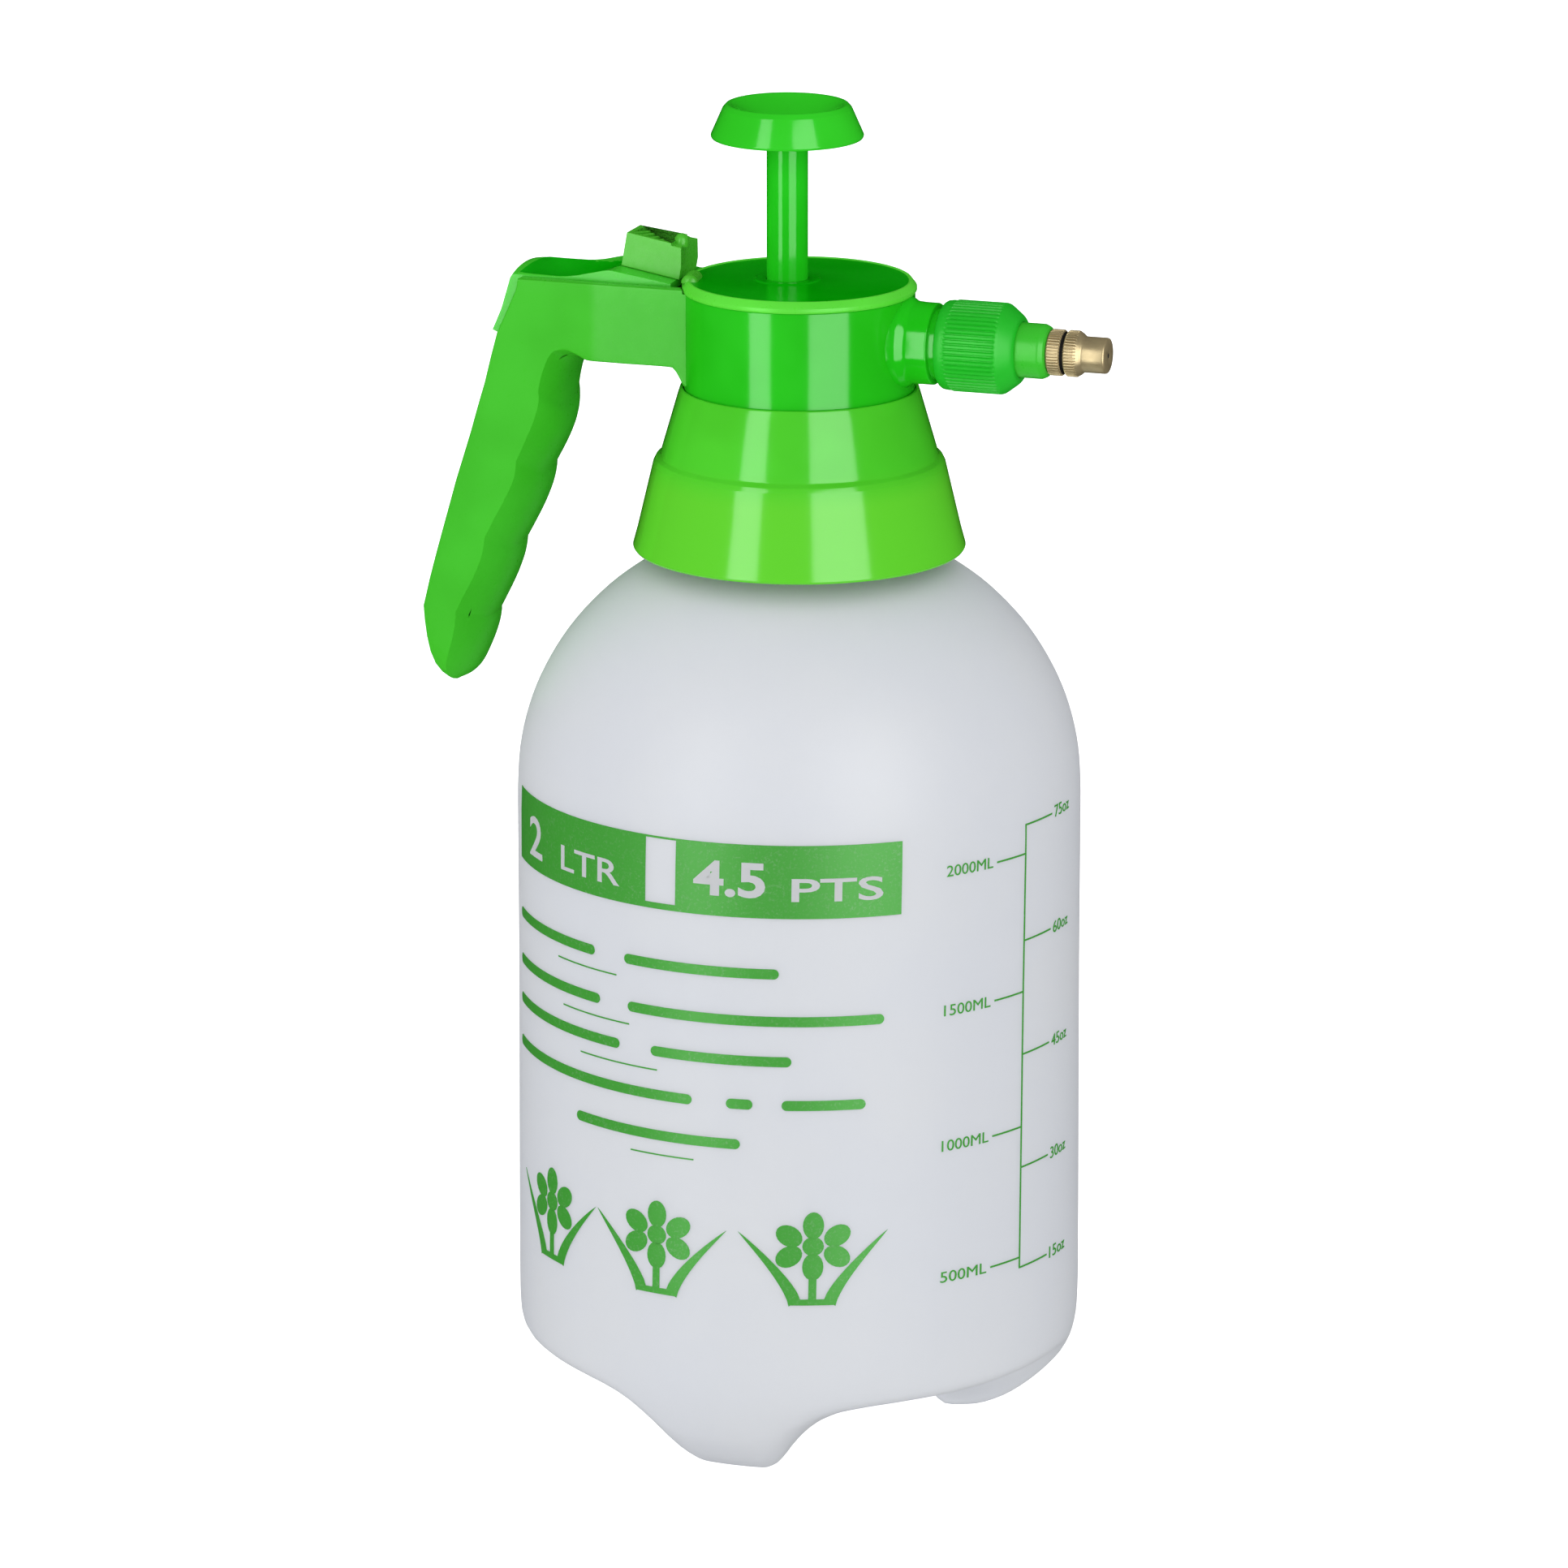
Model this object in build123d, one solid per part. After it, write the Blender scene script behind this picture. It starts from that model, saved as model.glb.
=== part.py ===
from build123d import *
import math
import os

# ---------------------------------------------------------------------------
# Two litre compression sprayer: bottle, screw collar, head with grip, plunger
# pump, thumb lever with lock, valve and adjustable brass nozzle.
# Frame: origin on the bottle's axis on the floor, +Z up, +X towards the nozzle.
# ---------------------------------------------------------------------------

# bottle
R_BODY = 69.0          # body radius at mid height
R_BODY_LOW = 69.5      # slight flare above the base corner
WALL = 2.0
FOOT_R_OUT = 50.0      # outer radius of the flat contact patch
FOOT_R_IN = 36.0       # inner radius of the flat contact patch
# half angle of a foot against height
FOOT_DEG = ((-3.0, 11.8), (0.0, 11.8), (9.5, 16.2), (14.8, 22.0), (18.5, 36.0), (38.0, 56.0))
ARCH_Z = 17.0          # underside of the base between the feet
FOOT_ANGLES = (-90.0, 30.0, 150.0)
NECK_R = 28.5
NECK_R_IN = 25.5
NECK_TOP = 243.0
THREAD_R = 30.4
THREAD_PITCH = 4.0

# collar nut
NUT_BOT = 221.8
NUT_TOP = 261.6
NUT_BORE = 31.0
NUT_LIP_Z = 248.0

# head
HEAD_R = 28.0
HEAD_R_IN = 25.3
HEAD_TOP = 285.2
FLANGE_R = 30.5
FLANGE_BOT = 245.0
FLOOR_TOP = 252.0
COVER_TOP = 288.0
COVER_R = 28.4
ROD_X = -3.1
ROD_R = 5.0

# pump
CYL_R = 15.0
CYL_R_IN = 13.4
CYL_BOT = 138.0
CYL_TOP = 254.0
PISTON_TOP = 190.0
PISTON_BOT = 178.0
KNOB_BOT = 323.6
KNOB_TOP = 332.0

# arm, grip and lever
ARM_HW = 14.0
ARM_WALL = 3.0
ARM_TOP = 286.2
ARM_BOT = 266.8
PIVOT_X, PIVOT_Z = -33.0, 279.0
PIN_R = 1.5
VALVE_X = -44.0
LEVER_HW = 10.7

# spout and nozzle
SP_Z = 274.3
SP_R = 9.9
SP_END = 35.0
DIP_X = 18.7


def rev(pts, axis=Axis.Z):
    """Solid of revolution from (r, z) points in the XZ plane."""
    face = make_face(Plane.XZ * Polyline(*[(p[0], p[1]) for p in pts], close=True))
    return revolve(face, axis=axis)


def cylz(r, z0, z1, x=0.0, y=0.0):
    return Pos(x, y, z0) * Cylinder(r, z1 - z0, align=(Align.CENTER, Align.CENTER, Align.MIN))


def cylx(r, x0, x1, y=0.0, z=SP_Z):
    return Pos(x0, y, z) * Rot(0, 90, 0) * Cylinder(r, x1 - x0, align=(Align.CENTER, Align.CENTER, Align.MIN))


def cyly(r, y0, y1, x, z):
    return Pos(x, y0, z) * Rot(-90, 0, 0) * Cylinder(r, y1 - y0, align=(Align.CENTER, Align.CENTER, Align.MIN))


def box(x0, x1, y0, y1, z0, z1):
    return Pos((x0 + x1) / 2, (y0 + y1) / 2, (z0 + z1) / 2) * Box(x1 - x0, y1 - y0, z1 - z0)


def prism_y(pts, y0, y1):
    """Prism along Y from (x, z) points."""
    face = make_face(Plane.XZ * Polyline(*pts, close=True))
    return Pos(0, y1, 0) * extrude(face, amount=y1 - y0, dir=(0, -1, 0))


def conex(pts):
    """Solid of revolution about the nozzle axis from (x, r) points."""
    face = make_face(Plane.XZ * Polyline(*[(x, r) for x, r in pts], close=True))
    return Pos(0, 0, SP_Z) * revolve(face, axis=Axis.X)


def toothed(r_out, r_in, n, x0, x1):
    """Knurled ring blank about the nozzle axis."""
    pts = []
    for i in range(n):
        a = 2 * math.pi * i / n
        s = 2 * math.pi / n
        for f, r in ((-0.22, r_out), (0.22, r_out), (0.36, r_in), (0.64, r_in)):
            pts.append((r * math.cos(a + f * s), r * math.sin(a + f * s)))
    face = make_face(Polyline(*pts, close=True))
    return Pos(x0, 0, SP_Z) * Rot(0, 90, 0) * extrude(face, amount=x1 - x0, dir=(0, 0, 1))


nodes = {}

# ---------------------------------------------------------------------------
# bottle
# ---------------------------------------------------------------------------
def shoulder(off):
    """Shoulder and neck outline, (r, z), from the body up, moved in by off."""
    raw = [(R_BODY, 150.0), (68.9, 163.6), (68.0, 173.5), (65.4, 183.4), (61.2, 192.6),
           (55.5, 201.2), (48.0, 209.2), (40.5, 215.0), (34.0, 218.9), (30.6, 221.6)]
    if off == 0:
        return raw
    out = []
    for i, (r, z) in enumerate(raw):
        a = raw[max(i - 1, 0)]
        b = raw[min(i + 1, len(raw) - 1)]
        tx, tz = b[0] - a[0], b[1] - a[1]
        n = math.hypot(tx, tz)
        out.append((r - off * tz / n, z + off * tx / n))
    return out


def body_blank(off):
    """Whole turned body, with the outside of the feet carried all the way round, moved in by off."""
    sh = shoulder(off)
    rb = R_BODY_LOW - off
    with BuildSketch(Plane.XZ) as sk:
        with BuildLine():
            Line((0, off), (FOOT_R_OUT - off * 0.7, off))
            Spline((FOOT_R_OUT - off * 0.7, off), (58.6 - off * 0.8, 6.3 + off * 0.6), (65.4 - off * 0.9, 15.0 + off * 0.3),
                   (rb, 34.0), tangents=((1, 0.25), (0, 1)))
            Line((rb, 34.0), (R_BODY - off, 120.0))
            Line((R_BODY - off, 120.0), sh[0])
            Spline(*sh, tangents=((0, 1), (-0.75, 0.66)))
            if off == 0:
                Polyline(sh[-1], (NECK_R, 224.6), (NECK_R, NECK_TOP), (0, NECK_TOP), (0, off))
            else:
                Polyline(sh[-1], (NECK_R_IN, 226.0), (NECK_R_IN, NECK_TOP + 1), (0, NECK_TOP + 1), (0, off))
        make_face()
    return revolve(sk.sketch, axis=Axis.Z)


def underside(off):
    """Turned cutter for the raised base between the feet."""
    zb = ARCH_Z + off
    with BuildSketch(Plane.XZ) as sk:
        with BuildLine():
            Polyline((72.6 - off, 36.0), (90.0, 36.0), (90.0, -1.0), (0, -1.0), (0, zb), (54.0, zb))
            Spline((54.0, zb), (63.4 - off * 0.6, 20.4 + off * 0.75), (68.9 - off * 0.9, 27.0 + off * 0.4), (72.6 - off, 36.0),
                   tangents=((1, 0.05), (0.25, 1)))
        make_face()
    return revolve(sk.sketch, axis=Axis.Z)


def foot_wedge(ang, off):
    """Tapered wedge that bounds one foot, wider at the top."""
    def sect(z, half):
        h = math.radians(half)
        r0 = FOOT_R_IN + off - min(max(z - off, 0.0), 18.0) * 0.8
        r1 = 95.0
        pts = [(r0, -r0 * math.tan(h + 0.05) + off), (r1, -r1 * math.tan(h) + off),
               (r1, r1 * math.tan(h) - off), (r0, r0 * math.tan(h + 0.05) - off)]
        return Pos(0, 0, z) * make_face(Polyline(*pts, close=True))
    w = loft([sect(z + (off if z > -1 else 0), half) for z, half in FOOT_DEG], ruled=True)
    return Rot(0, 0, ang) * w


def hollow_or_skin(off):
    cut = underside(off)
    for ang in FOOT_ANGLES:
        cut = cut - foot_wedge(ang, off)
    return body_blank(off) - cut


bottle = hollow_or_skin(0) - hollow_or_skin(WALL)
# neck thread
def thread(radius, crest, z0, turns, w_root=2.2, w_crest=1.2, inward=False):
    h = Helix(pitch=THREAD_PITCH, height=THREAD_PITCH * turns, radius=radius, center=(0, 0, z0))
    root = radius + (0.6 if inward else -0.6)
    prof = make_face(Polyline((root, -w_root / 2), (crest, -w_crest / 2), (crest, w_crest / 2), (root, w_root / 2), close=True))
    sec = Plane(origin=(0, 0, z0), x_dir=(1, 0, 0), z_dir=(0, -1, 0)) * prof
    return sweep(sec, path=h, is_frenet=True)

bottle = bottle + thread(NECK_R, THREAD_R, 229.0, 2.5)
nodes["bottle"] = bottle

# ---------------------------------------------------------------------------
# collar nut, gasket
# ---------------------------------------------------------------------------
nut_out = [(38.4, NUT_BOT), (40.1, NUT_BOT), (40.5, 222.3), (40.3, 223.2), (39.5, 226.3), (37.4, 234.4), (35.6, 242.5),
           (35.1, 243.9), (34.2, 245.2), (33.4, 246.3), (30.1, 258.8), (29.7, 260.7), (29.1, NUT_TOP)]
nut_in = [(28.15, NUT_TOP), (28.15, NUT_LIP_Z), (NUT_BORE, NUT_LIP_Z), (NUT_BORE, 225.4), (33.2, 225.4),
          (33.2, 241.0), (33.6, 241.0), (35.2, 234.0), (37.3, 226.0)]
nut = rev(nut_out + nut_in)
nut = nut + thread(NUT_BORE, 28.9, 229.0 + THREAD_PITCH / 2, 2.5, w_root=2.2, w_crest=1.1, inward=True)
nodes["collar_nut"] = nut
nodes["neck_gasket"] = rev([(25.9, NECK_TOP), (28.4, NECK_TOP), (28.4, FLANGE_BOT), (25.9, FLANGE_BOT)])

# ---------------------------------------------------------------------------
# head: cylinder, floor, flange, arm and grip, spout, in one moulding
# ---------------------------------------------------------------------------
head = rev([(0, 248.0), (24.8, 248.0), (24.8, FLANGE_BOT), (FLANGE_R, FLANGE_BOT), (FLANGE_R, 247.9), (HEAD_R, 247.9),
            (HEAD_R, HEAD_TOP), (HEAD_R_IN, HEAD_TOP), (HEAD_R_IN, FLOOR_TOP), (0, FLOOR_TOP)])

# outline of the arm and grip at the middle plane, (x, z, share of the edge rounding)
rear = [(-67.4, ARM_TOP, 0), (-68.0, 283.4, 0), (-73.0, 272.4, 0), (-76.3, 259.9, 0), (-80.0, 247.5, 0), (-84.0, 235.0, 0),
        (-87.6, 222.5, 0), (-91.1, 210.0, 0), (-92.9, 202.6, 0), (-92.4, 197.6, 0.15)]
front = [(-91.3, 191.0), (-90.4, 186.4), (-88.0, 183.0), (-85.2, 182.6), (-82.8, 185.4), (-81.0, 190.4), (-79.2, 196.6),
         (-77.0, 202.0), (-74.9, 207.0), (-73.6, 212.0), (-71.9, 217.2), (-69.5, 222.1), (-67.4, 227.2), (-66.0, 232.4),
         (-63.7, 237.6), (-60.9, 242.8), (-59.3, 248.2), (-58.8, 253.4), (-58.1, 258.2), (-57.0, 262.0), (-55.0, 265.4),
         (-52.2, ARM_BOT)]


def smooth(pts, n=3):
    """Catmull-Rom points through pts."""
    out = []
    for i in range(len(pts) - 1):
        p0, p1, p2, p3 = pts[max(i - 1, 0)], pts[i], pts[i + 1], pts[min(i + 2, len(pts) - 1)]
        for k in range(n):
            t = k / n
            out.append(tuple(0.5 * (2 * p1[j] + (p2[j] - p0[j]) * t + (2 * p0[j] - 5 * p1[j] + 4 * p2[j] - p3[j]) * t * t
                                    + (3 * p1[j] - p0[j] - 3 * p2[j] + p3[j]) * t ** 3) for j in range(2)))
    out.append(pts[-1])
    return out


fine = smooth(front)
line = list(rear)
for i, p in enumerate(fine):
    w = 1.0
    if i < 4:
        w = 0.3 + 0.2 * i
    if i > len(fine) - 7:
        w = max(0.0, (len(fine) - 1 - i) / 6.0)
    line.append((p[0], p[1], min(w, 1.0)))
line += [(-31.0, ARM_BOT, 0), (-28.8, 265.9, 0), (-27.4, 264.2, 0), (-26.6, 262.2, 0), (-24.4, 262.2, 0), (-24.4, ARM_TOP, 0)]


def grip_section(y, inset):
    """Outline with the finger side moved in by inset."""
    pts = []
    n = len(line)
    for i, (x, z, w) in enumerate(line):
        xa, za, _ = line[(i - 1) % n]
        xb, zb, _ = line[(i + 1) % n]
        tx, tz = xb - xa, zb - za
        m = math.hypot(tx, tz)
        pts.append((x - tz / m * inset * w, z + tx / m * inset * w))
    return Pos(0, y, 0) * make_face(Plane.XZ * Polyline(*pts, close=True))


grip = None
for hw, d in ((9.5, 0.0), (12.2, 1.0), (ARM_HW, 2.2)):
    slab = extrude(grip_section(hw, d), amount=2 * hw, dir=(0, -1, 0))
    grip = slab if grip is None else grip + slab
grip = grip - cylz(COVER_R + 0.35, HEAD_TOP, 290.0)

# channel in the arm for the lever, and the open back of the grip
arm_in = [(-24.0, ARM_TOP + 1), (-24.0, ARM_BOT + 2.3), (-53.0, ARM_BOT + 2.3), (-59.4, 263.8), (-61.9, 256.0),
          (-62.4, 249.0), (-64.2, 242.6), (-69.6, 231.0), (-73.0, 221.0), (-77.4, 209.0), (-81.6, 198.0), (-84.0, 190.6),
          (-86.4, 187.6), (-87.8, 191.0), (-89.4, 197.6), (-97.0, 203.0), (-97.0, 206.0), (-82.0, 268.0), (-78.0, 290.0)]
pocket = prism_y(arm_in, -(ARM_HW - ARM_WALL), ARM_HW - ARM_WALL)
for zr, xr in ((211.0, -74.0), (228.0, -68.0), (245.0, -60.0)):
    rib = Pos(xr, 0, zr) * Rot(0, -12, 0) * Box(60, 40, 1.8, align=(Align.MAX, Align.CENTER, Align.CENTER))
    pocket = pocket - rib
head = head + (grip - pocket)
# clear the bore again where the arm runs into the cylinder
head = head - cylz(HEAD_R_IN, FLOOR_TOP, HEAD_TOP + 3)
# root of the spout and the spout with its threaded end
spout = cylx(SP_R, 20.0, SP_END) + conex([(24.0, 0), (24.0, 10.8), (28.0, 10.7), (29.2, 10.2), (30.8, SP_R), (30.8, 0)])
spout = spout + cylx(8.5, SP_END, 47.0)
spout = spout - cylz(HEAD_R - 0.4, 250, 290)
head = head + spout
# spout passage, boss and hose nipple at its inner end
head = head + cylx(4.0, 21.4, 26.5) + cylx(1.45, 15.8, 22.0)
head = head - cylx(3.0, 29.0, 50.0)
head = head - cylx(0.9, 15.0, 30.0)
# dip tube socket under the floor and feed nipple above it
head = head + (cylz(5.2, 238.0, 248.4, DIP_X))
head = head - cylz(3.02, 237.0, 247.0, DIP_X)
head = head + cylz(3.4, 251.6, 254.0, DIP_X) + cylz(1.45, 253.0, 260.0, DIP_X)
head = head - cylz(0.9, 246.0, 261.0, DIP_X)
# seat for the pump cylinder
head = head - cylz(CYL_R + 0.05, 240.0, 256.0, ROD_X)
# hose passages from the cylinder into the arm
HOSE_Y, ARM_Y, FEED_Z, DEL_Z = 8.0, 6.0, 272.6, 273.6
head = head - cylx(2.9, -31.0, -20.0, y=-ARM_Y, z=FEED_Z)
head = head - cylx(2.9, -31.0, -20.0, y=ARM_Y, z=FEED_Z)
# blind pivot pin holes in the arm walls
head = head - cyly(PIN_R + 0.02, -ARM_HW + 0.7, ARM_HW - 0.7, PIVOT_X, PIVOT_Z)
# valve socket on the channel floor
head = head + (cylz(6.6, ARM_BOT + 2.0, ARM_BOT + 3.0, VALVE_X) - cylz(5.02, ARM_BOT + 2.3, ARM_BOT + 6.0, VALVE_X))
nodes["head_body"] = head

# cover disc with its plug skirt, rod hole and rim lug
cover = rev([(0, HEAD_TOP), (22.8, HEAD_TOP), (22.8, 281.4), (25.2, 281.4), (25.2, HEAD_TOP), (COVER_R - 0.25, HEAD_TOP),
             (COVER_R - 0.25, 285.5), (COVER_R, 285.7), (COVER_R, 286.4), (27.2, COVER_TOP), (0, COVER_TOP)])
cover = cover - cylz(ROD_R + 0.08, 270, 300, ROD_X)
lug = Pos(-25.9, 0, 287.3) * Rot(90, 0, 0) * Cylinder(2.3, 7.4)
lug = fillet(lug.edges(), 1.6)
lug = Rot(0, 0, 8) * Pos(0, -3.6, 0) * lug
cover = cover + (lug & box(-30, -20, -12, 8, 286.0, 292) & cylz(COVER_R - 0.05, 280, 295))
nodes["head_cover"] = cover

# ---------------------------------------------------------------------------
# plunger pump
# ---------------------------------------------------------------------------
cyl = cylz(CYL_R, CYL_BOT, FLOOR_TOP + 0.5, ROD_X) + cylz(18.0, FLOOR_TOP, CYL_TOP, ROD_X)
cyl = cyl - cylz(CYL_R_IN, CYL_BOT + 3.0, CYL_TOP + 1, ROD_X)
cyl = cyl - cylz(1.5, CYL_BOT - 1, CYL_BOT + 4, ROD_X)
for i in range(6):
    a = math.radians(60 * i)
    cyl = cyl - cylz(0.9, CYL_BOT - 1, CYL_BOT + 4, ROD_X + 5.2 * math.cos(a), 5.2 * math.sin(a))
nodes["pump_cylinder"] = cyl
nodes["cylinder_cap"] = (cylz(18.0, CYL_TOP, 257.0, ROD_X) + cylz(8.0, 256.0, 262.0, ROD_X)) - cylz(ROD_R + 0.08, 250, 270, ROD_X)
# rubber umbrella valve under the cylinder
nodes["check_valve"] = (cylz(7.6, CYL_BOT - 1.2, CYL_BOT, ROD_X) + cylz(1.45, CYL_BOT - 1.2, CYL_BOT + 3.0, ROD_X)
                        + cylz(2.3, CYL_BOT + 3.0, CYL_BOT + 4.4, ROD_X))
# rod, piston and piston ring
nodes["pump_rod"] = cylz(ROD_R, PISTON_TOP - 1.0, 327.0, ROD_X) + cylz(3.0, PISTON_BOT + 1.0, PISTON_TOP - 1.0, ROD_X)
pist = cylz(12.9, PISTON_BOT, PISTON_TOP, ROD_X)
pist = pist - (cylz(14, PISTON_BOT + 4.4, PISTON_BOT + 8.0, ROD_X) - cylz(11.2, PISTON_BOT + 4.0, PISTON_BOT + 9.0, ROD_X))
pist = pist - cylz(ROD_R, PISTON_TOP - 1.0, PISTON_TOP + 1, ROD_X) - cylz(3.0, PISTON_BOT + 1.0, PISTON_TOP, ROD_X)
nodes["pump_piston"] = pist
nodes["piston_ring"] = Pos(ROD_X, 0, 0) * rev([(11.2, PISTON_BOT + 4.45), (12.9, PISTON_BOT + 4.45), (13.34, PISTON_BOT + 5.4),
                                                (13.34, PISTON_BOT + 7.0), (12.9, PISTON_BOT + 7.95), (11.2, PISTON_BOT + 7.95)])
# knob: dished top, conical skirt, hub on the rod
kn = [(0, 324.9), (5.6, 324.9), (12.9, 330.9), (13.7, 331.8), (14.5, KNOB_TOP), (15.2, 331.4), (15.6, 330.2), (18.2, 325.2), (18.5, 324.2),
      (18.2, KNOB_BOT), (16.9, KNOB_BOT), (13.9, 329.2), (12.6, 328.6), (7.6, 324.2), (7.6, 322.9), (0, 322.9)]
kn2 = []
knob = rev([(ROD_R, 322.9), (7.6, 322.9), (7.6, 324.2), (12.4, 328.3), (13.7, 329.0), (14.4, 328.6), (16.9, KNOB_BOT), (18.2, KNOB_BOT),
            (18.5, 324.1), (18.3, 325.1), (15.7, 330.5), (15.2, 331.4), (14.4, KNOB_TOP), (13.6, 331.7), (12.9, 331.0), (6.2, 327.0),
            (ROD_R, 327.0)]) + rev([(0, 327.0), (6.2, 327.0), (7.4, 327.74), (0, 327.74)])
nodes["pump_knob"] = Pos(ROD_X, 0, 0) * knob

# ---------------------------------------------------------------------------
# thumb lever, pin, lock
# ---------------------------------------------------------------------------
TILT = 10.0


def deck(x):
    """Height of the sloping deck that the lock slides on."""
    return 289.5 - (x + 43.3) * math.tan(math.radians(TILT))


# side outline of the lever: deck from the pivot end, wing, dished pad, tail
lev_top = [(-29.2, 284.6), (-29.2, deck(-29.2)), (-43.6, deck(-43.6)), (-45.6, 289.6), (-50.6, 288.4), (-54.8, 287.6), (-58.0, 287.15),
           (-66.0, 287.1), (-68.6, 287.2), (-70.1, 286.2), (-72.9, 278.0), (-75.4, 272.4)]
lev_bot = [(-73.9, 271.9), (-71.3, 277.4), (-69.0, 284.4), (-67.2, 285.2), (-64.0, 284.9), (-56.0, 283.6), (-52.0, 282.6), (-48.0, 282.9), (-40.0, 283.4), (-38.4, 276.4),
           (-35.4, 275.0), (-31.0, 275.0), (-29.6, 277.0)]
lever = prism_y(lev_top + lev_bot, -LEVER_HW, LEVER_HW)
# hollow underneath, leaving a deck and two cheeks
under = prism_y([(-28.0, 270.0), (-28.0, 284.2), (-43.4, 287.2), (-46.0, 286.6), (-49.0, 285.0), (-53.0, 284.0), (-56.0, 283.4), (-62.0, 270.0)],
                -LEVER_HW + 1.8, LEVER_HW - 1.8)
lever = lever - under
lever = lever + (cyly(3.2, -LEVER_HW, LEVER_HW, PIVOT_X, PIVOT_Z))
# concave thumb pad
pad_cut = Pos(-56.4, 0, 0) * (Pos(0, 0, 287.3 + 33.0) * Sphere(34.6))
pad_cut = pad_cut & box(-68.6, -45.4, -10.2, 10.2, 280, 300)
lever = lever + box(-64.0, -48.6, -LEVER_HW + 0.5, LEVER_HW - 0.5, 283.7, 285.8) - pad_cut
# hub bore, and the post that presses the valve stem
lever = lever - cyly(PIN_R + 0.04, -20, 20, PIVOT_X, PIVOT_Z)
LEV_CONTACT_Z = 283.6
lever = lever + box(VALVE_X - 2.6, VALVE_X + 2.6, -LEVER_HW + 0.5, LEVER_HW - 0.5, LEV_CONTACT_Z + 2.6, 287.2)
lever = lever + cyly(2.6, -LEVER_HW + 0.5, LEVER_HW - 0.5, VALVE_X, LEV_CONTACT_Z + 2.6)
# guide slot for the lock slider's foot
lock_frame = Pos(-36.0, 0, deck(-36.0)) * Rot(0, TILT, 0)
slot_cut = lock_frame * Box(17.2, 4.4, 9.0, align=(Align.CENTER, Align.CENTER, Align.CENTER))
slot_cut = slot_cut - box(VALVE_X - 12.0, VALVE_X + 2.9, -20, 20, 270, 300)
lever = lever - slot_cut
nodes["trigger_lever"] = lever
nodes["trigger_pin"] = cyly(PIN_R, -ARM_HW + 0.8, ARM_HW - 0.8, PIVOT_X, PIVOT_Z)

# lock slider: ribbed block on the deck, neck through the slot, foot below
BL, BW, BH = 15.0, 12.6, 8.5
blk = Pos(0, 0, 0.10) * Box(BL, BW, BH, align=(Align.CENTER, Align.CENTER, Align.MIN))
try:
    blk = fillet([e for e in blk.edges() if abs(e.center().Z - 0.1) > 0.5], 0.6)
except Exception as ex:
    print("block fillet failed", ex)
blk = blk - Pos(-1.4, 0, BH - 0.7) * Box(10.6, BW - 3.0, 3.0, align=(Align.CENTER, Align.CENTER, Align.MIN))
for i in range(4):
    blk = blk + (Pos(-5.6 + 2.8 * i, 0, BH - 0.75) * Rot(0, 0, 0) * Box(1.0, BW - 3.0, 0.75, align=(Align.CENTER, Align.CENTER, Align.MIN)))
blk = blk + Pos(BL / 2 - 2.3, 0, BH - 0.2) * Sphere(1.9)
blk = blk + Pos(1.7, 0, -3.4) * Box(3.0, 4.0, 3.8, align=(Align.CENTER, Align.CENTER, Align.MIN))
lock = lock_frame * blk
nodes["lock_slider"] = lock - cylz(COVER_R + 0.3, 280, 300)

# ---------------------------------------------------------------------------
# valve in the arm
# ---------------------------------------------------------------------------
VB0, VB1 = ARM_BOT + 2.4, 277.4
vb = cylz(5.0, VB0, VB1, VALVE_X)
vb = vb - cylz(1.34, VB0 + 2.0, VB1 + 1, VALVE_X)          # stem bore
vb = vb - cylz(3.0, VB0 + 1.6, VB0 + 4.6, VALVE_X)         # chamber
vb = vb + (cylx(2.0, VALVE_X + 4.2, VALVE_X + 5.6, y=-2.4, z=FEED_Z - 0.1) + cylx(2.0, VALVE_X + 4.2, VALVE_X + 5.6, y=2.4, z=DEL_Z))
vb = vb + cylx(1.45, VALVE_X + 4.0, VALVE_X + 7.9, y=-2.4, z=FEED_Z - 0.1) + cylx(1.45, VALVE_X + 4.0, VALVE_X + 7.9, y=2.4, z=DEL_Z)
vb = vb - cylx(0.8, VALVE_X + 1.0, VALVE_X + 10, y=-2.4, z=FEED_Z - 0.1) - cylx(0.8, VALVE_X + 1.0, VALVE_X + 10, y=2.4, z=DEL_Z)
nodes["valve_body"] = vb
STEM_TOP = LEV_CONTACT_Z - 0.04
nodes["valve_stem"] = (cylz(1.3, VB0 + 3.2, STEM_TOP, VALVE_X) + cylz(3.4, 281.6, STEM_TOP, VALVE_X)
                       + cylz(2.4, VB0 + 3.2, VB0 + 3.9, VALVE_X))
nodes["valve_washer"] = cylz(2.6, VB0 + 3.95, VB0 + 4.6, VALVE_X) - cylz(1.34, VB0, VB1, VALVE_X)
sp_h = 281.6 - VB1
hel = Helix(pitch=(sp_h - 0.6) / 3.5, height=sp_h - 0.6, radius=2.6, center=(VALVE_X, 0, VB1 + 0.3))
wire = Plane(origin=(VALVE_X + 2.6, 0, VB1 + 0.3), x_dir=(1, 0, 0), z_dir=(0, 1, 0)) * Circle(0.29)
nodes["valve_spring"] = sweep(wire, path=hel, is_frenet=True)


def hose(points, radii, ro, ri):
    path = FilletPolyline(*points, radius=radii)
    p0, p1 = Vector(*points[0]), Vector(*points[1])
    pl = Plane(origin=p0, z_dir=(p1 - p0).normalized())
    o = sweep(pl * Circle(ro), path=path)
    i = sweep(pl * Circle(ri), path=path)
    s = o - i
    print("hose length %.1f volume %.1f expected %.1f" % (path.length, s.volume, math.pi * (ro * ro - ri * ri) * path.length))
    return s


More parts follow.
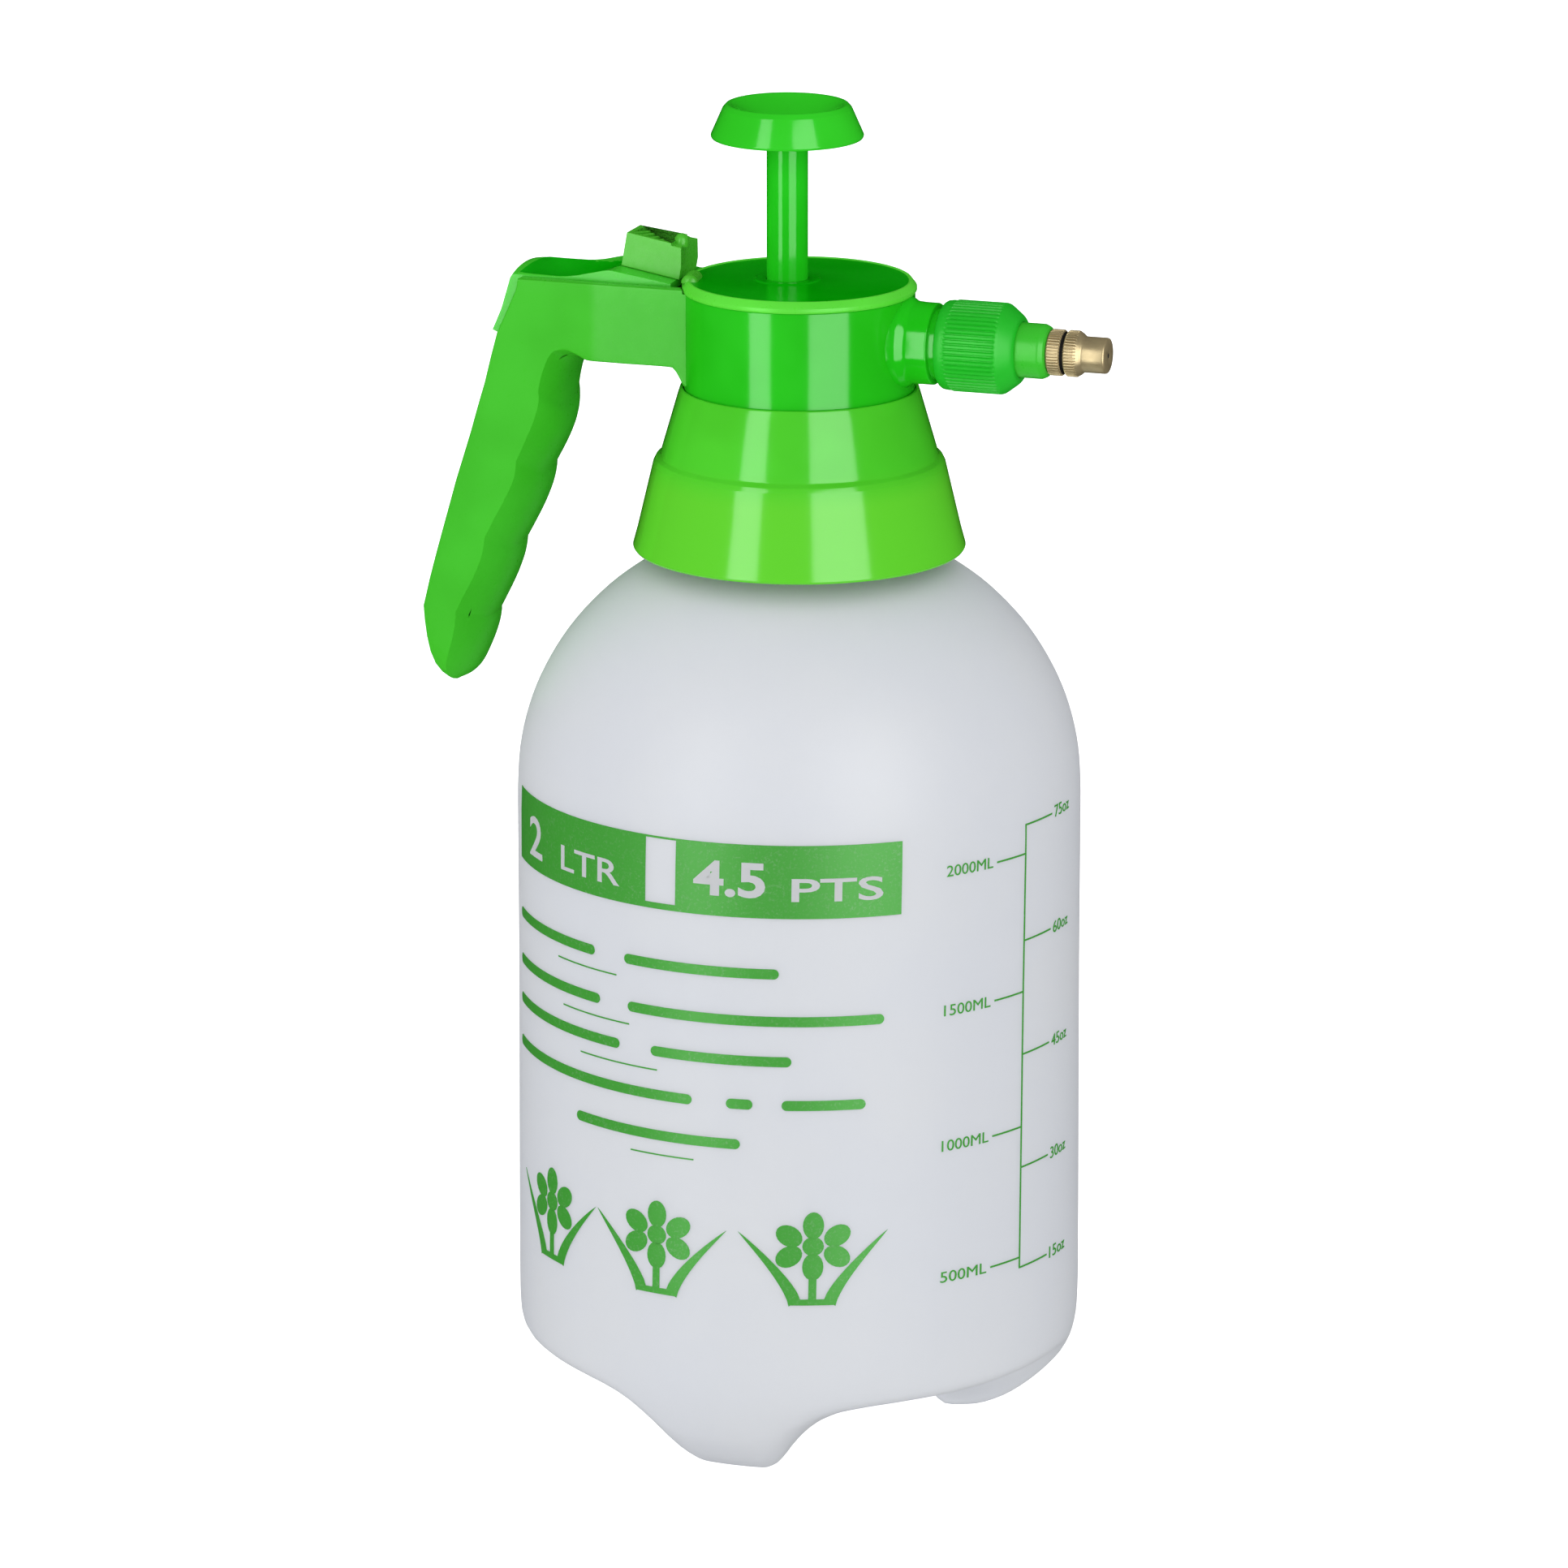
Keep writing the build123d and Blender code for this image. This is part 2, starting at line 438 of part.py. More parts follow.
nodes["feed_hose"] = hose([(DIP_X, 0, 254.2), (DIP_X, 0, 268.0), (8.0, -HOSE_Y, FEED_Z), (-8.0, -HOSE_Y, FEED_Z), (-17.0, -ARM_Y, FEED_Z),
                           (-30.5, -ARM_Y, FEED_Z), (VALVE_X + 8.8, -2.4, FEED_Z - 0.1), (VALVE_X + 5.8, -2.4, FEED_Z - 0.1)],
                          [4.5, 6.0, 8.0, 8.0, 4.0, 1.2], 2.4, 1.5)
nodes["delivery_hose"] = hose([(VALVE_X + 5.8, 2.4, DEL_Z), (VALVE_X + 8.8, 2.4, DEL_Z), (-30.5, ARM_Y, FEED_Z), (-17.0, ARM_Y, FEED_Z),
                               (-8.0, HOSE_Y, FEED_Z), (4.0, HOSE_Y, FEED_Z), (12.6, 0, SP_Z), (21.2, 0, SP_Z)],
                              [1.2, 4.0, 8.0, 8.0, 6.0, 3.0], 2.4, 1.5)

# dip tube and its strainer
nodes["dip_tube"] = cylz(3.0, 26.0, 246.8, DIP_X) - cylz(2.1, 20.0, 250.0, DIP_X)
stn = cylz(5.0, 21.0, 34.0, DIP_X) - cylz(3.0, 26.0, 36.0, DIP_X) - cylz(2.1, 23.0, 30.0, DIP_X)
for i in range(4):
    stn = stn - (Pos(DIP_X, 0, 23.4) * Rot(0, 0, 45 * i) * Box(14, 1.2, 1.6))
nodes["strainer"] = stn

# ---------------------------------------------------------------------------
# nozzle
# ---------------------------------------------------------------------------
cap = toothed(11.3, 10.85, 54, 36.2, 51.4)
cap = cap + conex([(35.2, 0), (35.2, 10.5), (35.9, 11.1), (36.4, 11.1), (36.4, 0)])
cap = cap + conex([(51.2, 0), (51.2, 11.0), (52.0, 11.0), (54.6, 8.9), (55.3, 8.2), (55.3, 0)])
cap = cap - cylx(8.6, 34.0, 50.4) - cylx(6.72, 50.0, 56.0)
nodes["nozzle_cap_nut"] = cap
nodes["nozzle_washer"] = cylx(8.0, 47.0, 48.2) - cylx(3.0, 46.0, 49.0)
nt = cylx(8.4, 48.2, 50.3) + conex([(50.0, 0), (50.0, 6.65), (60.6, 6.65), (61.8, 6.2), (62.2, 5.3), (62.2, 0)])
nt = nt - cylx(2.6, 48.0, 63.0) - cylx(4.0, 54.0, 63.0)
nodes["nozzle_tube"] = nt
nb = cylx(3.98, 54.2, 62.4) + toothed(5.6, 5.3, 44, 62.4, 65.9) + conex([(65.8, 0), (65.8, 4.2), (66.6, 4.2), (66.6, 0)]) + cylx(3.2, 66.4, 72.0)
nb = nb - cylx(1.4, 54.0, 70.0) - cylx(0.7, 69.0, 73.0)
nodes["nozzle_base"] = nb
tip = toothed(5.6, 5.3, 44, 66.9, 69.7) + conex([(69.6, 0), (69.6, 5.3), (70.2, 5.2), (71.6, 4.4), (77.3, 4.35), (77.8, 3.9), (77.8, 0)])
tip = tip - cylx(3.26, 66.0, 73.4) - cylx(0.55, 73.0, 79.0)
tip = tip - conex([(76.9, 0), (76.9, 0.6), (77.9, 1.3), (77.9, 0)])
nodes["nozzle_tip"] = tip

# ---------------------------------------------------------------------------
os.makedirs("parts", exist_ok=True)
for name, shape in nodes.items():
    if isinstance(shape, (list, ShapeList)):
        shape = Compound(children=list(shape))
    shape.label = name
    export_step(shape, os.path.join("parts", name + ".step"))
    bb = shape.bounding_box()
    print("%-16s solids %d vol %9.1f  x %.1f..%.1f y %.1f..%.1f z %.1f..%.1f valid %s" % (
        name, len(shape.solids()), shape.volume, bb.min.X, bb.max.X, bb.min.Y, bb.max.Y, bb.min.Z, bb.max.Z, shape.is_valid))
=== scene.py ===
import bpy
import bmesh
import math
from mathutils import Vector, Matrix


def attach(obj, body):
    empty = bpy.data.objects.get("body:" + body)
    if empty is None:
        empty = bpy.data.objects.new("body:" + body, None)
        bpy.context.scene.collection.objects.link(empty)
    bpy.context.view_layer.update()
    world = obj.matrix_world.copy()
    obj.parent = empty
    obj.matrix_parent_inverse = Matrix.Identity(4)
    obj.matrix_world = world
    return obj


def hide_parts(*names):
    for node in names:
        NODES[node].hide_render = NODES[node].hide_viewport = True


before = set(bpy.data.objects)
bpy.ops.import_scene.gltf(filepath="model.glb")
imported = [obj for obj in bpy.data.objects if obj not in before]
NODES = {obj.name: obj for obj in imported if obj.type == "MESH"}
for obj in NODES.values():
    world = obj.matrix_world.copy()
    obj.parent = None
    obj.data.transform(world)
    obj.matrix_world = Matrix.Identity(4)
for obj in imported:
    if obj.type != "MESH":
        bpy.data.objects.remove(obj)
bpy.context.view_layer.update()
S = 0.001                      # the numbers below are millimetres


# ---------------------------------------------------------------------------
# small helpers
# ---------------------------------------------------------------------------
def lin(rgb):
    out = []
    for c in rgb:
        c = c / 255.0
        out.append(c / 12.92 if c <= 0.04045 else ((c + 0.055) / 1.055) ** 2.4)
    return tuple(out) + (1.0,)


def lerp(a, b, t):
    return a + (b - a) * t


def table(tab, x):
    """Piecewise linear reading of ((x, y), ...)."""
    if x <= tab[0][0]:
        return tab[0][1]
    for (x0, y0), (x1, y1) in zip(tab, tab[1:]):
        if x <= x1:
            return lerp(y0, y1, (x - x0) / (x1 - x0))
    return tab[-1][1]


def soft_table(tab, x):
    """Smooth (Catmull-Rom) reading of ((x, y), ...)."""
    n = len(tab)
    if x <= tab[0][0]:
        return tab[0][1]
    if x >= tab[-1][0]:
        return tab[-1][1]
    i = 0
    while tab[i + 1][0] < x:
        i += 1
    x0, y0 = tab[i]
    x1, y1 = tab[i + 1]
    h = x1 - x0
    t = (x - x0) / h

    def slope(k):
        if k == 0 or k == n - 1:
            return 0.0
        a = (tab[k][1] - tab[k - 1][1]) / (tab[k][0] - tab[k - 1][0])
        b = (tab[k + 1][1] - tab[k][1]) / (tab[k + 1][0] - tab[k][0])
        return 0.0 if a * b <= 0 else 2 * a * b / (a + b)
    m0, m1 = slope(i) * h, slope(i + 1) * h
    return ((2 * t ** 3 - 3 * t ** 2 + 1) * y0 + (t ** 3 - 2 * t ** 2 + t) * m0
            + (-2 * t ** 3 + 3 * t ** 2) * y1 + (t ** 3 - t ** 2) * m1)


def catmull(pts, n):
    out = []
    for i in range(len(pts) - 1):
        p0, p1, p2, p3 = pts[max(i - 1, 0)], pts[i], pts[i + 1], pts[min(i + 2, len(pts) - 1)]
        for k in range(n):
            t = k / n
            out.append(tuple(0.5 * (2 * p1[j] + (p2[j] - p0[j]) * t + (2 * p0[j] - 5 * p1[j] + 4 * p2[j] - p3[j]) * t * t
                                    + (3 * p1[j] - p0[j] - 3 * p2[j] + p3[j]) * t ** 3) for j in range(len(p1))))
    out.append(tuple(pts[-1]))
    return out


def rounded(pts, closed=True, steps=4):
    """(a, b[, radius]) points to a polyline with rounded corners."""
    out = []
    n = len(pts)
    for i, p in enumerate(pts):
        rad = p[2] if len(p) > 2 else 0.0
        b = Vector(p[:2])
        if rad <= 0 or (not closed and i in (0, n - 1)):
            out.append((b.x, b.y))
            continue
        a = Vector(pts[i - 1][:2])
        c = Vector(pts[(i + 1) % n][:2])
        u, v = (a - b), (c - b)
        lu, lv = u.length, v.length
        u.normalize()
        v.normalize()
        ang = u.angle(v)
        if ang > math.pi - 0.02:
            out.append((b.x, b.y))
            continue
        t = min(rad / math.tan(ang / 2), 0.48 * lu, 0.48 * lv)
        r = t * math.tan(ang / 2)
        ctr = b + (u + v).normalized() * (r / math.sin(ang / 2))
        s, e = b + u * t, b + v * t
        a0 = math.atan2(s.y - ctr.y, s.x - ctr.x)
        a1 = math.atan2(e.y - ctr.y, e.x - ctr.x)
        d = (a1 - a0 + math.pi) % (2 * math.pi) - math.pi
        for k in range(steps + 1):
            q = a0 + d * k / steps
            out.append((ctr.x + r * math.cos(q), ctr.y + r * math.sin(q)))
    return out


def finish_mesh(me, angle):
    bm = bmesh.new()
    bm.from_mesh(me)
    bmesh.ops.recalc_face_normals(bm, faces=bm.faces[:])
    bm.to_mesh(me)
    bm.free()
    me.polygons.foreach_set("use_smooth", [True] * len(me.polygons))
    me.set_sharp_from_angle(angle=math.radians(angle))
    me.update()


def obj_from(name, verts, faces, mat, body, angle=32):
    me = bpy.data.meshes.new(name)
    me.from_pydata([(v[0] * S, v[1] * S, v[2] * S) for v in verts], [], faces)
    me.validate()
    finish_mesh(me, angle)
    ob = bpy.data.objects.new(name, me)
    bpy.context.scene.collection.objects.link(ob)
    if mat:
        me.materials.append(mat)
    if body:
        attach(ob, body)
    return ob


def lathe_data(prof, seg, closed, place):
    """prof: (r, h). place(r, angle, h) gives the vertex."""
    verts, faces, rings = [], [], []
    for r, h in prof:
        if r < 1e-6:
            rings.append([len(verts)])
            verts.append(place(0.0, 0.0, h))
        else:
            base = len(verts)
            rings.append([base + k for k in range(seg)])
            for k in range(seg):
                verts.append(place(r, 2 * math.pi * k / seg, h))
    n = len(rings)
    for i in range(n if closed else n - 1):
        a, b = rings[i], rings[(i + 1) % n]
        if len(a) == 1 and len(b) == 1:
            continue
        for k in range(seg):
            k2 = (k + 1) % seg
            if len(a) == 1:
                faces.append((a[0], b[k], b[k2]))
            elif len(b) == 1:
                faces.append((a[k], a[k2], b[0]))
            else:
                faces.append((a[k], a[k2], b[k2], b[k]))
    return verts, faces


def lathe_z(name, prof, mat, body, seg=160, closed=True, cx=0.0, angle=30):
    v, f = lathe_data(prof, seg, closed, lambda r, a, h: (cx + r * math.cos(a), r * math.sin(a), h))
    return obj_from(name, v, f, mat, body, angle)


def lathe_x(name, prof, mat, body, seg=128, closed=True, cz=274.3, angle=30):
    """prof: (x, r)."""
    v, f = lathe_data([(r, x) for x, r in prof], seg, closed, lambda r, a, h: (h, r * math.cos(a), cz + r * math.sin(a)))
    return obj_from(name, v, f, mat, body, angle)


def prism_data(pts, y0, y1):
    n = len(pts)
    verts = [(x, y0, z) for x, z in pts] + [(x, y1, z) for x, z in pts]
    faces = [tuple(range(n)), tuple(range(2 * n - 1, n - 1, -1))]
    for i in range(n):
        j = (i + 1) % n
        faces.append((i, j, n + j, n + i))
    return verts, faces


def box_data(x0, x1, y0, y1, z0, z1):
    v = [(x, y, z) for x in (x0, x1) for y in (y0, y1) for z in (z0, z1)]
    f = [(0, 1, 3, 2), (4, 6, 7, 5), (0, 4, 5, 1), (2, 3, 7, 6), (0, 2, 6, 4), (1, 5, 7, 3)]
    return v, f


def boolean(ob, cutters, op):
    for c in cutters:
        m = ob.modifiers.new("b", "BOOLEAN")
        m.operation = op
        m.solver = "EXACT"
        m.object = c
    bpy.context.view_layer.update()
    dg = bpy.context.evaluated_depsgraph_get()
    me = bpy.data.meshes.new_from_object(ob.evaluated_get(dg))
    ob.modifiers.clear()
    old = ob.data
    ob.data = me
    bpy.data.meshes.remove(old)
    for c in cutters:
        bpy.data.objects.remove(c, do_unlink=True)
    return ob


def bevel(ob, width, segs=3, angle=35):
    m = ob.modifiers.new("bev", "BEVEL")
    m.width = width * S
    m.segments = segs
    m.limit_method = "ANGLE"
    m.angle_limit = math.radians(angle)
    m.harden_normals = False
    m.use_clamp_overlap = True
    bpy.context.view_layer.update()
    dg = bpy.context.evaluated_depsgraph_get()
    me = bpy.data.meshes.new_from_object(ob.evaluated_get(dg))
    ob.modifiers.clear()
    ob.data = me
    return ob


def smooth_by(ob, angle):
    me = ob.data
    me.polygons.foreach_set("use_smooth", [True] * len(me.polygons))
    me.set_sharp_from_angle(angle=math.radians(angle))
    m = ob.modifiers.new("wn", "WEIGHTED_NORMAL")
    m.keep_sharp = True
    m.weight = 60
    bpy.context.view_layer.update()
    dg = bpy.context.evaluated_depsgraph_get()
    new = bpy.data.meshes.new_from_object(ob.evaluated_get(dg))
    ob.modifiers.clear()
    ob.data = new
    return ob


def join(name, parts, mat, body, angle=32):
    """One object from (verts, faces) parts."""
    verts, faces = [], []
    for v, f in parts:
        o = len(verts)
        verts += list(v)
        faces += [tuple(i + o for i in q) for q in f]
    return obj_from(name, verts, faces, mat, body, angle)


# ---------------------------------------------------------------------------
# materials
# ---------------------------------------------------------------------------
def new_mat(name):
    m = bpy.data.materials.new(name)
    m.use_nodes = True
    nt = m.node_tree
    nt.nodes.clear()
    out = nt.nodes.new("ShaderNodeOutputMaterial")
    b = nt.nodes.new("ShaderNodeBsdfPrincipled")
    nt.links.new(b.outputs[0], out.inputs[0])
    tc = nt.nodes.new("ShaderNodeTexCoord")
    return m, nt, b, tc


def noise(nt, tc, scale, detail=3.0, rough=0.5):
    n = nt.nodes.new("ShaderNodeTexNoise")
    n.inputs["Scale"].default_value = scale
    n.inputs["Detail"].default_value = detail
    n.inputs["Roughness"].default_value = rough
    nt.links.new(tc.outputs["Object"], n.inputs["Vector"])
    return n


def mix_rgb(nt, fac, a, b):
    m = nt.nodes.new("ShaderNodeMix")
    m.data_type = "RGBA"
    for sock, val in ((6, a), (7, b)):
        if isinstance(val, bpy.types.NodeSocket):
            nt.links.new(val, m.inputs[sock])
        else:
            m.inputs[sock].default_value = val
    if isinstance(fac, bpy.types.NodeSocket):
        nt.links.new(fac, m.inputs[0])
    else:
        m.inputs[0].default_value = fac
    return m.outputs[2]


def map_range(nt, src, a, b, c, d, smooth=False):
    m = nt.nodes.new("ShaderNodeMapRange")
    m.interpolation_type = "SMOOTHSTEP" if smooth else "LINEAR"
    nt.links.new(src, m.inputs[0])
    for i, v in enumerate((a, b, c, d)):
        m.inputs[1 + i].default_value = v
    return m.outputs[0]


def bump(nt, b, srcs):
    """srcs: (socket, strength, distance)."""
    prev = None
    for sock, strength, dist in srcs:
        n = nt.nodes.new("ShaderNodeBump")
        n.inputs["Strength"].default_value = strength
        n.inputs["Distance"].default_value = dist
        nt.links.new(sock, n.inputs["Height"])
        if prev:
            nt.links.new(prev, n.inputs["Normal"])
        prev = n.outputs[0]
    nt.links.new(prev, b.inputs["Normal"])


def moulded(name, rgb, rough=0.13, var=0.05, spec=0.25, sub=0.0, sub_r=(0.002, 0.006, 0.001), flow=0.12, grad=None):
    """Injection moulded gloss plastic: faint cloudiness, flow waviness and fine handling marks."""
    m, nt, b, tc = new_mat(name)
    base = lin(rgb)
    light = tuple(min(1.0, c * (1 + var) + 0.004) for c in base[:3]) + (1,)
    dark = tuple(c * (1 - var) for c in base[:3]) + (1,)
    big = noise(nt, tc, 38.0, 2.0)
    fac = map_range(nt, big.outputs["Fac"], 0.35, 0.65, 0, 1, True)
    col = mix_rgb(nt, fac, dark, light)
    if grad:
        z0, z1, rgb2 = grad
        sep = nt.nodes.new("ShaderNodeSeparateXYZ")
        nt.links.new(tc.outputs["Object"], sep.inputs[0])
        f2 = map_range(nt, sep.outputs["Z"], z0 * S, z1 * S, 0, 1, True)
        col = mix_rgb(nt, f2, col, lin(rgb2))
    nt.links.new(col, b.inputs["Base Color"])
    fine = noise(nt, tc, 900.0, 4.0, 0.6)
    r = map_range(nt, fine.outputs["Fac"], 0.3, 0.7, rough * 0.85, rough * 1.2)
    nt.links.new(r, b.inputs["Roughness"])
    b.inputs["Specular IOR Level"].default_value = spec
    if sub > 0:
        b.inputs["Subsurface Weight"].default_value = sub
        b.inputs["Subsurface Radius"].default_value = sub_r
        b.inputs["Subsurface Scale"].default_value = 1.0
    wave = noise(nt, tc, 55.0, 1.0)
    bump(nt, b, [(wave.outputs["Fac"], flow, 0.0006), (fine.outputs["Fac"], 0.05, 0.00006)])
    return m


def hdpe(name, rgb):
    """Milky blow-moulded polyethylene: satin, cloudy, with fine orange peel and faint draw lines."""
    m, nt, b, tc = new_mat(name)
    base = lin(rgb)
    cloud = noise(nt, tc, 22.0, 3.0)
    f = map_range(nt, cloud.outputs["Fac"], 0.3, 0.7, 0, 1, True)
    cool = tuple(c * k for c, k in zip(base[:3], (0.972, 0.978, 1.0))) + (1,)
    col = mix_rgb(nt, f, cool, base)
    nt.links.new(col, b.inputs["Base Color"])
    sep = nt.nodes.new("ShaderNodeSeparateXYZ")
    nt.links.new(tc.outputs["Object"], sep.inputs[0])
    comb = nt.nodes.new("ShaderNodeCombineXYZ")
    at = nt.nodes.new("ShaderNodeMath")
    at.operation = "ARCTAN2"
    nt.links.new(sep.outputs["Y"], at.inputs[0])
    nt.links.new(sep.outputs["X"], at.inputs[1])
    nt.links.new(at.outputs[0], comb.inputs[0])
    zz = nt.nodes.new("ShaderNodeMath")
    zz.operation = "MULTIPLY"
    zz.inputs[1].default_value = 1.5
    nt.links.new(sep.outputs["Z"], zz.inputs[0])
    nt.links.new(zz.outputs[0], comb.inputs[2])
    draw = nt.nodes.new("ShaderNodeTexNoise")
    draw.inputs["Scale"].default_value = 26.0
    draw.inputs["Detail"].default_value = 2.0
    nt.links.new(comb.outputs[0], draw.inputs["Vector"])
    peel = noise(nt, tc, 1500.0, 2.0)
    r = map_range(nt, peel.outputs["Fac"], 0.3, 0.7, 0.40, 0.52)
    nt.links.new(r, b.inputs["Roughness"])
    b.inputs["Specular IOR Level"].default_value = 0.28
    b.inputs["Subsurface Weight"].default_value = 0.35
    b.inputs["Subsurface Radius"].default_value = (0.008, 0.008, 0.008)
    b.inputs["Subsurface Scale"].default_value = 1.0
    bump(nt, b, [(draw.outputs["Fac"], 0.05, 0.0004), (peel.outputs["Fac"], 0.06, 0.00008)])
    return m


def ink(name, rgb):
    """Screen print: slightly uneven coverage over the bottle's texture."""
    m, nt, b, tc = new_mat(name)
    base = lin(rgb)
    thin = tuple(lerp(c, 0.55, 0.16) for c in base[:3]) + (1,)
    n = noise(nt, tc, 1400.0, 3.0, 0.7)
    f = map_range(nt, n.outputs["Fac"], 0.52, 0.68, 0, 1)
    n2 = noise(nt, tc, 120.0, 2.0)
    f2 = map_range(nt, n2.outputs["Fac"], 0.3, 0.7, 0.25, 0.9)
    mul = nt.nodes.new("ShaderNodeMath")
    mul.operation = "MULTIPLY"
    nt.links.new(f, mul.inputs[0])
    nt.links.new(f2, mul.inputs[1])
    col = mix_rgb(nt, mul.outputs[0], base, thin)
    nt.links.new(col, b.inputs["Base Color"])
    b.inputs["Roughness"].default_value = 0.42
    b.inputs["Specular IOR Level"].default_value = 0.35
    bump(nt, b, [(n.outputs["Fac"], 0.08, 0.00006)])
    return m


def metal(name, rgb, rough, scale=700.0, turned=True, metallic=1.0):
    m, nt, b, tc = new_mat(name)
    base = lin(rgb)
    mp = nt.nodes.new("ShaderNodeMapping")
    nt.links.new(tc.outputs["Object"], mp.inputs[0])
    mp.inputs["Scale"].default_value = (6.0, 1.0, 1.0) if turned else (1, 1, 1)
    n = nt.nodes.new("ShaderNodeTexNoise")
    n.inputs["Scale"].default_value = scale
    n.inputs["Detail"].default_value = 3.0
    nt.links.new(mp.outputs[0], n.inputs["Vector"])
    big = noise(nt, tc, 240.0, 2.0)
    f = map_range(nt, big.outputs["Fac"], 0.35, 0.7, 0, 1)
    col = mix_rgb(nt, f, base, tuple(c * 0.82 for c in base[:3]) + (1,))
    nt.links.new(col, b.inputs["Base Color"])
    b.inputs["Metallic"].default_value = metallic
    r = map_range(nt, n.outputs["Fac"], 0.3, 0.7, rough * 0.8, rough * 1.25)
    nt.links.new(r, b.inputs["Roughness"])
    bump(nt, b, [(n.outputs["Fac"], 0.10, 0.00004)])
    return m


def rubber(name, rgb, rough=0.6):
    m, nt, b, tc = new_mat(name)
    n = noise(nt, tc, 800.0, 3.0)
    base = lin(rgb)
    col = mix_rgb(nt, n.outputs["Fac"], base, tuple(min(1, c * 1.3 + 0.004) for c in base[:3]) + (1,))
    nt.links.new(col, b.inputs["Base Color"])
    b.inputs["Roughness"].default_value = rough
    bump(nt, b, [(n.outputs["Fac"], 0.1, 0.00005)])
    return m


M_BOTTLE = hdpe("milky_polyethylene", (226, 229, 234))
M_INK = ink("green_print", (58, 158, 44))
M_BARE = hdpe("milky_unprinted", (238, 240, 242))
M_HEAD = moulded("head_green", (34, 194, 20), spec=0.3)
M_COLLAR = moulded("collar_green", (76, 205, 40), rough=0.12, spec=0.32, grad=(247, 238, (98, 212, 46)))
M_TRIM = moulded("trim_green", (50, 205, 34), rough=0.2)
# painted shade: a darker green for the cover disc's top and the lever's dish, standing in for the dim light and dark
# reflection on surfaces that face up
M_PAINTED_SHADE_GREEN = moulded("cover_painted_shade_green", (0, 172, 0), rough=0.22, spec=0.12)
M_LEVER = moulded("lever_green", (62, 200, 42), rough=0.24)
M_BLOCK = moulded("lock_green", (80, 192, 46), rough=0.28)
M_KNOB = moulded("knob_green", (48, 204, 34), rough=0.13)
M_ROD = moulded("rod_green", (32, 206, 24), rough=0.13)
M_CAP = moulded("cap_green", (26, 190, 34), rough=0.36, flow=0.06, spec=0.2)
M_SPOUT = moulded("spout_green", (30, 200, 20), rough=0.13, spec=0.32)
M_TUBE = moulded("tube_green", (54, 194, 40), rough=0.3)
M_WHITE = moulded("natural_acetal", (224, 226, 220), rough=0.35)
M_HOSE = moulded("clear_hose", (206, 214, 210), rough=0.3, sub=0.2)
M_RUBBER = rubber("black_nitrile", (28, 28, 30))
M_STEEL = metal("drawn_steel", (176, 176, 180), 0.28)
M_BRASS = metal("turned_brass", (188, 170, 128), 0.36, metallic=0.5)
M_ARM = moulded("arm_green", (62, 188, 36), rough=0.3)
# painted reflection: the arm's specular level is ramped by position, from 0.05 behind x −49.5 mm up to 0.16 from x
# −46.5 mm, so the softbox reflection lights the arm's side near the head and leaves the grip unlit
_nt = M_ARM.node_tree
_b = [n for n in _nt.nodes if n.type == "BSDF_PRINCIPLED"][0]
_tc = [n for n in _nt.nodes if n.type == "TEX_COORD"][0]
_sx = _nt.nodes.new("ShaderNodeSeparateXYZ")
_nt.links.new(_tc.outputs["Object"], _sx.inputs[0])
_nt.links.new(map_range(_nt, _sx.outputs["X"], -0.0495, -0.0465, 0.05, 0.16, True), _b.inputs["Specular IOR Level"])
# painted shade: near-black for the inside of the spray hole and the gap between the knurls
M_PAINTED_BORE_SHADE = rubber("bore_shadow", (20, 18, 14), 0.9)
# painted highlight: a lighter green for the cover disc's chamfered rim
M_DISC_EDGE_PAINTED_HIGHLIGHT = moulded("cover_edge_painted_highlight", (92, 226, 56), rough=0.3)

by_node = {
    "bottle": M_BOTTLE, "collar_nut": M_COLLAR, "neck_gasket": M_RUBBER, "head_body": M_HEAD, "head_cover": M_PAINTED_SHADE_GREEN,
    "pump_cylinder": M_WHITE, "cylinder_cap": M_WHITE, "check_valve": M_RUBBER, "pump_rod": M_ROD, "pump_piston": M_WHITE,
    "piston_ring": M_RUBBER, "pump_knob": M_KNOB, "trigger_lever": M_LEVER, "trigger_pin": M_STEEL, "lock_slider": M_BLOCK,
    "valve_body": M_WHITE, "valve_stem": M_BRASS, "valve_washer": M_RUBBER, "valve_spring": M_STEEL, "feed_hose": M_HOSE,
    "delivery_hose": M_HOSE, "dip_tube": M_HOSE, "strainer": M_WHITE, "nozzle_cap_nut": M_CAP, "nozzle_washer": M_RUBBER,
    "nozzle_tube": M_TUBE, "nozzle_base": M_BRASS, "nozzle_tip": M_BRASS}
for name, ob in NODES.items():
    mat = by_node[name]
    if ob.material_slots:
        for sl in ob.material_slots:
            sl.material = mat
    else:
        ob.data.materials.append(mat)

# ---------------------------------------------------------------------------
# bottle: blow-moulded body with three feet, wall and neck
# ---------------------------------------------------------------------------
WALL = 2.0
FEET = (-90.0, 30.0, 150.0)
SHOULDER = [(69.0, 128.0), (69.0, 150.0), (68.9, 163.6), (68.0, 173.5), (65.4, 183.4), (61.2, 192.6), (55.5, 201.2),
            (48.0, 209.2), (40.5, 215.0), (34.0, 218.9), (30.6, 221.6)]
FOOT_W = ((0.0, 1.0), (8.0, 1.0), (11.5, 0.93), (14.0, 0.80), (16.5, 0.62), (19.0, 0.45), (21.5, 0.31), (24.5, 0.19),
          (29.0, 0.09), (37.0, 0.02), (46.0, 0.0), (60.0, 0.0))


def foot_share(deg):
    d = min(abs((deg - f + 180) % 360 - 180) for f in FEET)
    return soft_table(FOOT_W, d)


